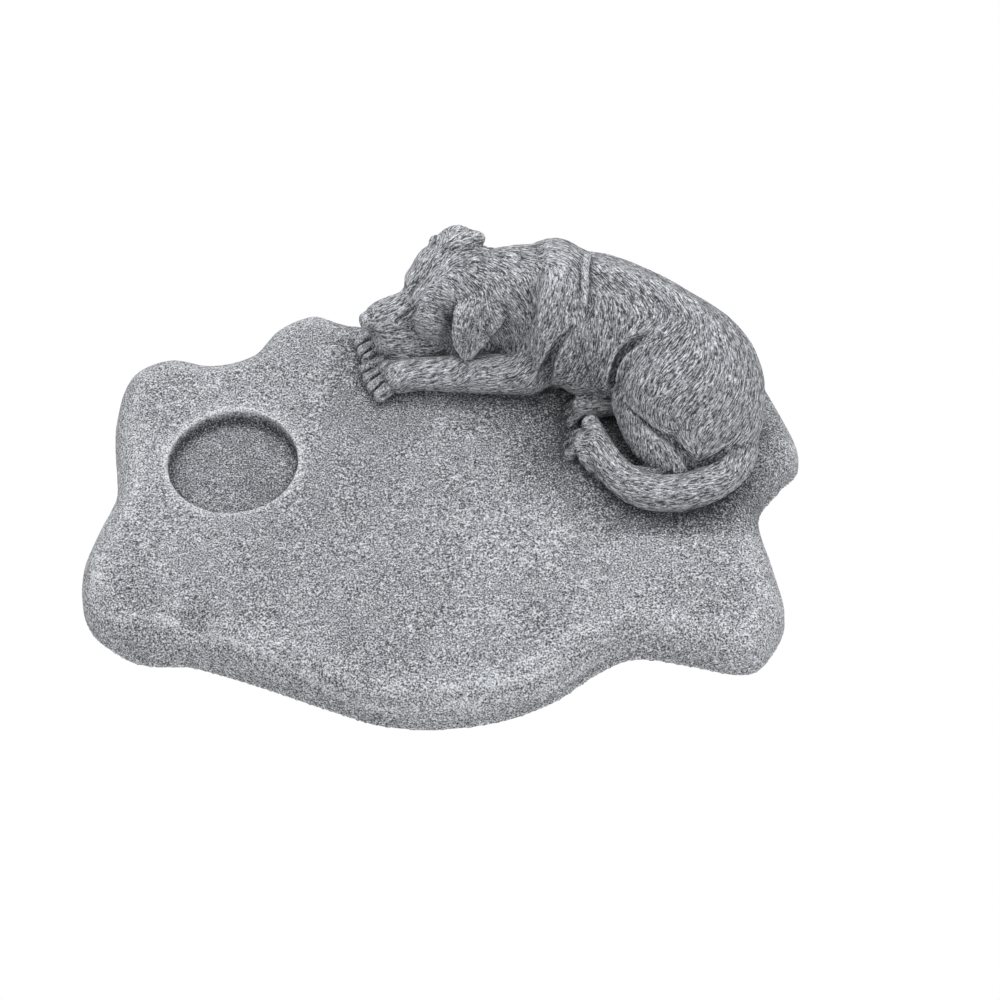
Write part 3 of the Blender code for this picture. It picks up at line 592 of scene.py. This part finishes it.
# The coat's strokes: width, half length and height, broad locks first. Each is followed in steps
# of STRIDE through a grid of cells, FLOW_CELL wide, that hold the way of the hair.
COAT = [(0.00085, 0.0026, 0.00004), (0.00055, 0.0020, 0.00010)]
STRIDE = 0.00040
FLOW_CELL = 0.0012

# Distances from the dog at which the coat starts and is full, and its lowest height
COAT_EDGE = (0.0012, 0.0002)
COAT_BOTTOM = 0.002

# Places on the dog's grid, with their reach, where the coat fades to a share: paws and nose
BARE_SHARE = 0.25
BARE_PLACES = [
    ((-26, 39, 2), 8.5), ((-29, 51, 3), 8.5), ((37.5, 13, 3), 5.5), ((37.5, 26, 4), 5),
    ((-28, 49.4, 21), 5.5),
]

# The slab's relief: width and height of its lumps, then of its grain
GRAIN = [(0.0065, 0.00012), (0.0022, 0.00006), (0.0010, 0.00005)]
GRAIN_SEED = 10

# Heights above the floor: no grain below the first, and level with the floor below the second
SMOOTH_BELOW = 0.0005
FLAT_BELOW = 0.0003

# Low ridges along the slab's front, painted pale as a highlight, as stations on the dog's grid,
# with the distances from them at which a ridge starts and is full, and the face of the front left
# lobe, sunk a little and darkened with painted shade: its middle and reach
RIDGES = [
    [(-80, -58.5, -5, 0), (-68, -60.5, -2, 0), (-53, -66.5, -2, 0), (-40.5, -73, -4, 0),
     (-28.5, -79, -7, 0), (-16.5, -82.5, -7, 0), (-7.5, -83, -6.5, 0), (10.5, -81, -5.5, 0),
     (26.5, -76.5, -7, 0), (37.5, -70.5, -8, 0), (44, -65, -8, 0)],
    [(-34.5, -72.5, -1.5, 0), (-19.5, -78.5, -2.5, 0), (1.5, -78, -2, 0), (22, -75, -2.5, 0),
     (36, -68, -3, 0)],
    [(-107, -31.5, -1, 0), (-109, -44, -4.5, 0), (-102, -50.5, -4.5, 0), (-91.5, -51, -2.5, 0),
     (-84, -54, -2, 0), (-79, -57, -3.5, 0)],
]
RIDGE_HEIGHT = 0.00030
RIDGE_EDGE = (2.6, 0.3)
SHADED_FACE = ((-91, -58.5, -6), 12)

# The slab darkens towards the dog, from the first distance to the second. Along the dog's grid
# the shade grows by SHADE_GROWTH over one stretch, and it dies away on the right lobe.
SHADE_EDGE = (0.024, 0.0005)
SHADE_START = 0.55
SHADE_GROWTH = 0.80
SHADE_GROWS = (-8, 22)
SHADE_DIES = (120, 90)

# Depths below the slab's top between which the recess turns dark with painted shade
RECESS_DARK = (0.001, 0.003)

# Painted shade in narrow and broad hollows: rounds of smoothing that show them, and the depth
# that is fully dark
FINE_HOLLOW = (14, 0.00030)
BROAD_HOLLOW = (90, 0.0012)

# Noise in the stone: scale per metre, detail, roughness and distortion, and the bands of it that
# make each kind of mark
SPECKLE = (1900.0, 2.0, 0.6, 0.0)
CRUMBS = (1250.0, 1.0, 0.5, 0.0)
CRUMB_BAND = (0.52, 0.68)
# The pinholes are painted dark: painted shade in pits that only the bump sinks
PINHOLES = (620.0, 1.0, 0.5, 0.0)
PINHOLE_BAND = (0.28, 0.21)
CLOUDS = (26.0, 4.0, 0.6, 0.0)
VEINS = (150.0, 2.0, 0.55, 0.6)
VEIN_BAND = (0.022, 0.004)
VEIN_AREAS = (38.0, 2.0, 0.5, 0.0)
VEIN_AREA_BAND = (0.50, 0.62)
FLECKS = (1150.0, 1.0, 0.5, 0.0)
FLECK_BAND = (0.56, 0.68)
FLECK_TURN = math.radians(-50)
FLECK_SQUEEZE = (0.45, 1.0, 1.0)

# Fine strokes of the coat: tuft, width, how often drawn out, and shift
HAIRS = [
    (0.0032, 0.00040, 7.0, (0.0, 0.0, 0.0)),
    (0.0027, 0.00034, 6.5, (0.0017, 0.0023, 0.0011)),
]

# The stone's tone, from 0 for dark to 1 for pale, and what each mark adds to it
TONE = 0.45
# Of these marks, painted shade: the hollows (paler where the stone stands out), the slab's foot, the
# recess, the lobe's face, the pinholes and the shade towards the dog; painted highlight: the front ridges
MARKS = {
    "coat": -0.03, "ridge": 0.045, "strokes": 3.6, "ridges": 0.08, "lobe_face_shade": -0.09, "foot_shade": -0.16,
    "recess": -0.13, "speckle": 2.1, "clouds": 0.35, "hollow_shade": 0.26, "broad_hollow_shade": 0.10,
    "crumbs": 0.14, "flecks": 0.22, "pinholes": -0.45, "veins": 0.22, "shade": -0.25,
}
# Painted shade at the slab's foot: the stone darkens over this height above the floor
FOOT_SHADE_BAND = 0.0055
DARKEST = (0.035, 0.038, 0.043, 1)
PALEST = (0.70, 0.715, 0.74, 1)
GREYS = [(0.25, 0.13), (0.5, 0.29), (0.75, 0.44)]
TINT = (0.955, 0.985, 1.045)
BUMP_DEPTH = 0.00035

# Light: each lamp's place, size and power, and the strength of the white surrounding
KEY = ((-0.10, 0.55, 1.10), 0.6, 8.6)
FILL = ((0.6, -0.7, 0.8), 0.8, 3.8)
SURROUNDING = 0.75
FLOOR_REACH = 3.0

# Camera
CAMERA_TARGET = (0.0165, -0.010, 0.015)
CAMERA_ELEVATION = math.radians(52.0)
CAMERA_DISTANCE = 0.750
LENS = 86.9


def spread(field):
    """The same field, with its points shared out over threads."""
    def shared(points):
        chunks = np.array_split(points, max(1, len(points) // 12000))
        with ThreadPoolExecutor(THREADS) as pool:
            return np.concatenate(list(pool.map(field, chunks)))
    return shared


def recess_field(p):
    """The round candle recess, as a drum that is open above."""
    centre = np.array([RECESS_PLACE[0] * SLAB_LENGTH / 2, RECESS_PLACE[1] * SLAB_DEPTH / 2])
    out = np.linalg.norm(p[:, :2] - centre, axis=1) - RECESS_DIAMETER / 2
    under = SLAB_THICKNESS - RECESS_DEPTH - p[:, 2]
    rounded = np.hypot(np.maximum(out + RECESS_FILLET, 0), np.maximum(under + RECESS_FILLET, 0))
    corner = (out > -RECESS_FILLET) & (under > -RECESS_FILLET)
    return np.where(corner, rounded - RECESS_FILLET, np.maximum(out, under))


def settled(points, field, reach):
    """Points moved onto the field's surface along its slope, with the outward direction there."""
    sides = np.array([(1, 1, 1), (1, -1, -1), (-1, 1, -1), (-1, -1, 1)]) * reach * 0.2
    values = np.stack([field(points + side) for side in sides])
    up = (values[:, :, None] * sides[:, None, :]).sum(0) / (sides[0] @ sides[0] * 4 / 3)
    steep = np.maximum((up**2).sum(1), 0.2)
    for _ in range(2):
        move = up * (field(points) / steep)[:, None]
        size = np.maximum(np.linalg.norm(move, axis=1), 1e-12)
        points = points - move * np.minimum(1.0, reach / size)[:, None]
    return points, up / np.maximum(np.linalg.norm(up, axis=1), 1e-9)[:, None]


def halved(points, quads, chosen):
    """Cuts the chosen quads into four. Their uncut neighbours take in the new points."""
    count = len(points)
    ends = np.stack([quads, np.roll(quads, -1, axis=1)], axis=2)
    keys = ends.min(axis=2) * count + ends.max(axis=2)
    cut, place = np.unique(keys[chosen], return_inverse=True)
    place = place.reshape(-1, 4) + count
    middles = (points[cut // count] + points[cut % count]) / 2
    centre = np.arange(chosen.sum()) + count + len(cut)
    small = [
        np.stack([quads[chosen][:, i], place[:, i], centre, place[:, i - 1]], axis=1)
        for i in range(4)
    ]
    left = quads[~chosen]
    at = np.minimum(np.searchsorted(cut, keys[~chosen]), len(cut) - 1)
    touched = cut[at] == keys[~chosen]
    faces = np.vstack([*small, left[~touched.any(axis=1)]]).tolist()
    for corners, spots, marks in zip(left.tolist(), at.tolist(), touched.tolist()):
        if any(marks):
            ring = []
            for corner, spot, mark in zip(corners, spots, marks):
                ring += [corner, spot + count] if mark else [corner]
            faces.append(ring)
    centres = points[quads[chosen]].mean(axis=1)
    return np.vstack([points, middles, centres]), faces


def noise(p, size, seed):
    """Smooth noise from -1 to 1 in space, with hills about size across."""
    lattice = np.random.default_rng(seed).uniform(-1, 1, (LATTICE, LATTICE, LATTICE)).ravel()
    q = p / size + 10 * LATTICE
    cell = np.floor(q).astype(np.int64)
    share = q - cell
    share = share * share * (3 - 2 * share)
    total = np.zeros(len(p))
    for corner in np.ndindex(2, 2, 2):
        i, j, k = ((cell + corner) % LATTICE).T
        weight = np.where(corner, share, 1 - share).prod(axis=1)
        total += weight * lattice[(i * LATTICE + j) * LATTICE + k]
    return total


def hair_ways(grid, normals):
    """The way that the hair lies at points of the dog's grid, along its surface."""
    places = np.array([place for place, _ in LAY], float)
    ways = np.array([way for _, way in LAY], float)
    ways /= np.linalg.norm(ways, axis=1)[:, None]
    away = (grid**2).sum(1)[:, None] + (places**2).sum(1) - 2 * grid @ places.T
    way = (1.0 / (np.maximum(away, 0) + 6.0) ** 2) @ ways
    way /= np.linalg.norm(way, axis=1)[:, None]
    way -= normals * (way * normals).sum(1)[:, None]
    return way / np.maximum(np.linalg.norm(way, axis=1), 1e-6)[:, None]


def strokes(points, ways, width, length, seed):
    """Noise drawn out along the coat, about -1 to 1: strokes of the width, tapered at their ends."""
    low = points.min(0) - FLOW_CELL
    shape = ((points.max(0) - low) / FLOW_CELL).astype(int) + 2

    def cell_of(p):
        at = np.clip(((p - low) / FLOW_CELL).astype(int), 0, shape - 1)
        return (at[:, 0] * shape[1] + at[:, 1]) * shape[2] + at[:, 2]

    cells = cell_of(points)
    flow = np.stack([np.bincount(cells, ways[:, k], shape.prod()) for k in range(3)], axis=1)
    flow /= np.maximum(np.linalg.norm(flow, axis=1), 1e-9)[:, None]

    def drawn_out(chunk):
        total = noise(points[chunk], width, seed)
        for side in (1, -1):
            place, way = points[chunk], ways[chunk]
            for i in range(1, int(length / STRIDE) + 1):
                place = place + way * side * STRIDE
                met = flow[cell_of(place)]
                way = np.where((np.abs(met).sum(1) > 0)[:, None], met, way)
                taper = 0.5 + 0.5 * math.cos(math.pi * i * STRIDE / (length + STRIDE))
                total += taper * noise(place, width, seed)
        return total

    with ThreadPoolExecutor(THREADS) as pool:
        value = np.concatenate(list(pool.map(drawn_out, np.array_split(np.arange(len(points)), 16))))
    return np.tanh(value / value.std() * 0.9)


def smoothed(values, edges, rounds):
    """Values at the mesh's points, averaged with their neighbours' over some rounds."""
    ends = np.concatenate([edges, edges[:, ::-1]])
    count = np.maximum(np.bincount(ends[:, 0], minlength=len(values)), 1)
    for _ in range(rounds):
        near = np.stack([np.bincount(ends[:, 0], column[ends[:, 1]], len(values)) for column in values.T])
        values = (values + (near / count).T) / 2
    return values


def eased(value, low, high):
    """A smooth step from 0 at low to 1 at high."""
    share = np.clip((value - low) / (high - low), 0, 1)
    return share * share * (3 - 2 * share)


def hollows(mesh, rounds):
    """How far each point stands out of its surroundings, in metres; hollows are below nought."""
    points = np.empty(len(mesh.vertices) * 3)
    mesh.vertices.foreach_get("co", points)
    normals = np.empty(len(points))
    mesh.vertices.foreach_get("normal", normals)
    edges = np.empty(len(mesh.edges) * 2, np.int32)
    mesh.edges.foreach_get("vertices", edges)
    points, normals, edges = points.reshape(-1, 3), normals.reshape(-1, 3), edges.reshape(-1, 2)
    return ((points - smoothed(points, edges, rounds)) * normals).sum(1)


def store(mesh, name, values):
    """Keeps a number, or a direction, for each point of the mesh."""
    if values.ndim == 1:
        mesh.attributes.new(name, "FLOAT", "POINT").data.foreach_set("value", values)
    else:
        mesh.attributes.new(name, "FLOAT_VECTOR", "POINT").data.foreach_set("vector", values.ravel())


def front_marks(points):
    """How far each point lies on a front ridge, broken as crust is, and on the lobe's face, for a painted
    highlight and painted shade.
    """
    grid = figure_grid(points)
    ridges = np.zeros(len(points))
    near = np.flatnonzero((grid[:, 1] < -25) & (grid[:, 2] < 2))
    for stations in RIDGES:
        away = spread(lambda p, line=stations: strand(p, line))(grid[near])
        ridges[near] = np.maximum(ridges[near], eased(away, *RIDGE_EDGE))
    middle, reach = SHADED_FACE
    dark = eased(np.linalg.norm(grid - middle, axis=1), reach, reach * 0.3)
    broken = 0.75 + 0.5 * noise(points, 0.0045, 31) + 0.4 * noise(points, 0.0016, 32)
    return ridges * np.clip(broken, 0, 1), dark


def cast_statue():
    """The casting: the solid's own forms, then the carved coat and the stone's grain."""
    outline = slab_outline()

    def casting(p):
        return carve(np.maximum(statue_field(p, outline), -p[:, 2]), recess_field(p), RIM_EASE)

    whole = spread(casting)
    margin = STEP * 3
    low = (-SLAB_LENGTH / 2 - margin, -SLAB_DEPTH / 2 - margin, -margin)
    high = (SLAB_LENGTH / 2 + margin, SLAB_DEPTH / 2 + margin, HEIGHT + margin)
    points, quads = one_shell(*surface_net(whole, low, high, STEP))
    off_dog = spread(dog_distance)(points)
    points, faces = halved(points, quads, (off_dog[quads] < STEP).all(axis=1))
    points, normals = settled(points, whole, STEP / 2)
    off_dog = spread(dog_distance)(points)
    coat = eased(off_dog, *COAT_EDGE) * (points[:, 2] > COAT_BOTTOM)
    for place, reach in BARE_PLACES:
        away = np.linalg.norm(figure_grid(points) - place, axis=1)
        coat = coat * (BARE_SHARE + (1 - BARE_SHARE) * eased(away, reach * 0.7, reach * 1.1))
    on_coat = np.flatnonzero(coat > 0)
    ridge = np.zeros(len(points))
    rise = np.zeros(len(points))
    way = np.zeros((len(points), 3))
    hair = points[on_coat]
    ways = hair_ways(figure_grid(hair), normals[on_coat])
    way[on_coat] = ways
    for seed, (width, length, height) in enumerate(COAT):
        value = strokes(hair, ways, width, length, seed)
        ridge[on_coat] += value / len(COAT)
        rise[on_coat] += value * height * coat[on_coat]
    for seed, (size, height) in enumerate(GRAIN):
        lumpy = noise(points, size, GRAIN_SEED + seed) * height
        rise += lumpy * (1 - coat) * (points[:, 2] > SMOOTH_BELOW)
    ridges, dark = front_marks(points)
    along = figure_grid(points)[:, 0]
    shade = eased(off_dog, *SHADE_EDGE) * (SHADE_START + SHADE_GROWTH * eased(along, *SHADE_GROWS))
    shade = shade * eased(along, *SHADE_DIES)
    points = points + normals * (rise + RIDGE_HEIGHT * (ridges - dark))[:, None]
    points[:, 2] = np.where(points[:, 2] < FLAT_BELOW, 0.0, points[:, 2])
    sunk = eased(points[:, 2], *(SLAB_THICKNESS - depth for depth in RECESS_DARK))
    mesh = bpy.data.meshes.new("cast_statue")
    mesh.from_pydata(points.tolist(), [], faces)
    store(mesh, "ridge", ridge)
    store(mesh, "coat", coat)
    store(mesh, "way", way)
    store(mesh, "shade", shade)
    # Painted highlight on the front ridges and painted shade on the lobe's face
    store(mesh, "ridges", ridges)
    store(mesh, "lobe_face_shade", dark)
    # Painted shade in the candle recess
    store(mesh, "recess", eased(recess_field(points), RIM_EASE, 0) * sunk)
    mesh.update()
    # Painted shade: each point darkens as far as it sinks into a narrow or a broad hollow, and turns paler
    # as far as it stands out
    for name, (rounds, depth) in (("hollow_shade", FINE_HOLLOW), ("broad_hollow_shade", BROAD_HOLLOW)):
        store(mesh, name, np.tanh(hollows(mesh, rounds) / depth))
    piece = bpy.data.objects.new("cast_statue", mesh)
    bpy.context.collection.objects.link(piece)
    thinned = piece.modifiers.new("thinned", "DECIMATE")
    thinned.ratio = min(1.0, TRIANGLES / sum(len(face) - 2 for face in faces))
    applied(piece)
    piece.data.shade_smooth()
    piece.data.materials.append(stone())
    return piece


def applied(piece):
    """The piece with its modifiers made real."""
    bpy.context.view_layer.update()
    mesh = bpy.data.meshes.new_from_object(piece.evaluated_get(bpy.context.evaluated_depsgraph_get()))
    piece.modifiers.clear()
    piece.data = mesh


def stone():
    """Grey stone-filled resin: painted shade in the hollows; pale on the ridges, dry-brushed on the coat
    and a painted highlight on the slab's front.
    """
    material = bpy.data.materials.new("dry_brushed_stone")
    material.use_nodes = True
    tree = material.node_tree
    nodes, links = tree.nodes, tree.links
    shader = nodes["Principled BSDF"]

    def math_node(operation, *values):
        node = nodes.new("ShaderNodeMath")
        node.operation = operation
        for i, value in enumerate(values):
            if isinstance(value, (int, float)):
                node.inputs[i].default_value = value
            else:
                links.new(value, node.inputs[i])
        return node.outputs[0]

    def attribute(name):
        node = nodes.new("ShaderNodeAttribute")
        node.attribute_name = name
        return node.outputs["Fac"]

    place = nodes.new("ShaderNodeTexCoord").outputs["Object"]

    def grain(at, scale, detail, roughness=0.5, distortion=0.0):
        node = nodes.new("ShaderNodeTexNoise")
        node.inputs["Scale"].default_value = scale
        node.inputs["Detail"].default_value = detail
        node.inputs["Roughness"].default_value = roughness
        node.inputs["Distortion"].default_value = distortion
        links.new(at, node.inputs["Vector"])
        return node.outputs["Fac"]

    def between(value, low, high):
        node = nodes.new("ShaderNodeMapRange")
        node.interpolation_type = "SMOOTHSTEP"
        links.new(value, node.inputs["Value"])
        node.inputs["From Min"].default_value = low
        node.inputs["From Max"].default_value = high
        return node.outputs["Result"]

    def vector_math(operation, *values):
        node = nodes.new("ShaderNodeVectorMath")
        node.operation = operation
        for i, value in enumerate(values):
            if isinstance(value, tuple):
                node.inputs[i].default_value = value
            elif value.type == "VALUE" and operation == "SCALE":
                links.new(value, node.inputs["Scale"])
            else:
                links.new(value, node.inputs[i])
        return node.outputs["Value" if operation == "DOT_PRODUCT" else "Vector"]

    def hair(tuft, width, drawn, shift):
        """Fine strokes along the coat. Each tuft has noise of its own, drawn out along its hair."""
        moved = vector_math("ADD", place, shift)
        tufts = nodes.new("ShaderNodeTexVoronoi")
        tufts.inputs["Scale"].default_value = 1 / tuft
        links.new(moved, tufts.inputs["Vector"])
        root = tufts.outputs["Position"]
        offset = vector_math("SUBTRACT", moved, root)
        along = vector_math("DOT_PRODUCT", offset, way)
        shortened = math_node("MULTIPLY", along, 1 / drawn - 1)
        flat = vector_math("ADD", offset, vector_math("SCALE", way, shortened))
        apart = vector_math("MULTIPLY", root, (7.0, 7.0, 7.0))
        return grain(vector_math("ADD", flat, apart), 1 / width, 1.0)

    way_node = nodes.new("ShaderNodeAttribute")
    way_node.attribute_name = "way"
    way = vector_math("NORMALIZE", way_node.outputs["Vector"])
    coat = attribute("coat")
    bare = math_node("SUBTRACT", 1.0, coat)

    first, second = [hair(*sizes) for sizes in HAIRS]
    strand_noise = math_node("MULTIPLY", math_node("ADD", first, second), 0.5)
    strokes_level = math_node("MULTIPLY", math_node("SUBTRACT", strand_noise, 0.5), coat)

    speckle = grain(place, *SPECKLE)
    crumbs = between(grain(place, *CRUMBS), *CRUMB_BAND)
    # Pinholes: painted shade in pits that only the bump sinks
    pinholes = math_node("MULTIPLY", between(grain(place, *PINHOLES), *PINHOLE_BAND), bare)
    clouds = grain(place, *CLOUDS)
    off_vein = math_node("ABSOLUTE", math_node("SUBTRACT", grain(place, *VEINS), 0.5))
    vein_area = between(grain(place, *VEIN_AREAS), *VEIN_AREA_BAND)
    veins = math_node("MULTIPLY", between(off_vein, *VEIN_BAND), vein_area)
    squeezed = nodes.new("ShaderNodeMapping")
    squeezed.inputs["Rotation"].default_value = (0, 0, FLECK_TURN)
    squeezed.inputs["Scale"].default_value = FLECK_SQUEEZE
    links.new(place, squeezed.inputs["Vector"])
    flecks = between(grain(squeezed.outputs["Vector"], *FLECKS), *FLECK_BAND)
    above_floor = nodes.new("ShaderNodeSeparateXYZ")
    links.new(place, above_floor.inputs["Vector"])

    marks = {
        "coat": coat,
        "ridge": attribute("ridge"),
        "strokes": strokes_level,
        # painted highlight on the front ridges
        "ridges": attribute("ridges"),
        # painted shade on the front left lobe's face
        "lobe_face_shade": attribute("lobe_face_shade"),
        # painted shade at the slab's foot
        "foot_shade": between(above_floor.outputs["Z"], FOOT_SHADE_BAND, 0.0),
        # painted shade in the candle recess
        "recess": attribute("recess"),
        "speckle": math_node("MULTIPLY", math_node("SUBTRACT", speckle, 0.5), math_node("ADD", bare, 0.5)),
        "clouds": math_node("SUBTRACT", clouds, 0.5),
        # painted shade in the narrow and broad hollows, paler where the stone stands out
        "hollow_shade": attribute("hollow_shade"),
        "broad_hollow_shade": math_node("MULTIPLY", attribute("broad_hollow_shade"), math_node("ADD", coat, 0.6)),
        "crumbs": math_node("MULTIPLY", crumbs, bare),
        "flecks": math_node("MULTIPLY", flecks, bare),
        # painted shade in the pinholes
        "pinholes": pinholes,
        "veins": math_node("MULTIPLY", veins, bare),
        "shade": math_node("MULTIPLY", attribute("shade"), bare),
    }
    level = TONE
    for name, mark in marks.items():
        level = math_node("MULTIPLY_ADD", mark, MARKS[name], level)

    ramp = nodes.new("ShaderNodeValToRGB")
    ramp.color_ramp.elements[0].position = 0.0
    ramp.color_ramp.elements[0].color = DARKEST
    ramp.color_ramp.elements[1].position = 1.0
    ramp.color_ramp.elements[1].color = PALEST
    for position, grey in GREYS:
        element = ramp.color_ramp.elements.new(position)
        element.color = (*(grey * tint for tint in TINT), 1)
    links.new(level, ramp.inputs["Fac"])
    links.new(ramp.outputs["Color"], shader.inputs["Base Color"])

    rough = math_node("MULTIPLY_ADD", speckle, 0.2, 0.75)
    links.new(rough, shader.inputs["Roughness"])
    shader.inputs["Specular IOR Level"].default_value = 0.25

    bump = nodes.new("ShaderNodeBump")
    bump.inputs["Strength"].default_value = 0.8
    bump.inputs["Distance"].default_value = BUMP_DEPTH
    rough_share = math_node("MULTIPLY_ADD", bare, 0.8, 0.15)
    height = math_node("MULTIPLY", math_node("ADD", speckle, crumbs), rough_share)
    height = math_node("MULTIPLY_ADD", pinholes, -1.5, height)
    height = math_node("MULTIPLY_ADD", strokes_level, 2.2, height)
    links.new(height, bump.inputs["Height"])
    links.new(bump.outputs["Normal"], shader.inputs["Normal"])
    return material


def floor():
    """A plain white floor that runs out of view, lit from within so that it takes no shadow."""
    mesh = bpy.data.meshes.new("floor")
    signs = [(-1, -1), (1, -1), (1, 1), (-1, 1)]
    corners = [(x * FLOOR_REACH, y * FLOOR_REACH, 0) for x, y in signs]
    mesh.from_pydata(corners, [], [(0, 1, 2, 3)])
    piece = bpy.data.objects.new("floor", mesh)
    bpy.context.collection.objects.link(piece)
    material = bpy.data.materials.new("white_floor")
    material.use_nodes = True
    shader = material.node_tree.nodes["Principled BSDF"]
    shader.inputs["Base Color"].default_value = (0, 0, 0, 1)
    shader.inputs["Roughness"].default_value = 1.0
    shader.inputs["Specular IOR Level"].default_value = 0.0
    shader.inputs["Emission Color"].default_value = (1, 1, 1, 1)
    shader.inputs["Emission Strength"].default_value = 1.0
    mesh.materials.append(material)


def soft_light(name, location, size, power):
    """A square light that faces the statue."""
    light = bpy.data.lights.new(name, "AREA")
    light.size = size
    light.energy = power
    lamp = bpy.data.objects.new(name, light)
    lamp.location = location
    lamp.rotation_euler = (Vector((0, 0, 0.02)) - Vector(location)).to_track_quat("-Z", "Y").to_euler()
    bpy.context.collection.objects.link(lamp)


def studio():
    """A white surrounding, a soft key light above and behind, a fill, and the photograph's camera."""
    scene = bpy.context.scene
    world = bpy.data.worlds.new("studio")
    world.use_nodes = True
    world.node_tree.nodes["Background"].inputs["Color"].default_value = (1, 1, 1, 1)
    world.node_tree.nodes["Background"].inputs["Strength"].default_value = SURROUNDING
    scene.world = world
    soft_light("key", *KEY)
    soft_light("fill", *FILL)
    camera = bpy.data.objects.new("camera", bpy.data.cameras.new("camera"))
    camera.data.lens = LENS
    camera.data.clip_start = 0.01
    back = Vector((0, -math.cos(CAMERA_ELEVATION), math.sin(CAMERA_ELEVATION)))
    camera.location = Vector(CAMERA_TARGET) + back * CAMERA_DISTANCE
    camera.rotation_euler = (-back).to_track_quat("-Z", "Y").to_euler()
    bpy.context.collection.objects.link(camera)
    scene.camera = camera
    scene.view_settings.view_transform = "Standard"


statue = cast_statue()
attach(statue, "root")
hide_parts("pet_memorial_statue")
floor()
studio()
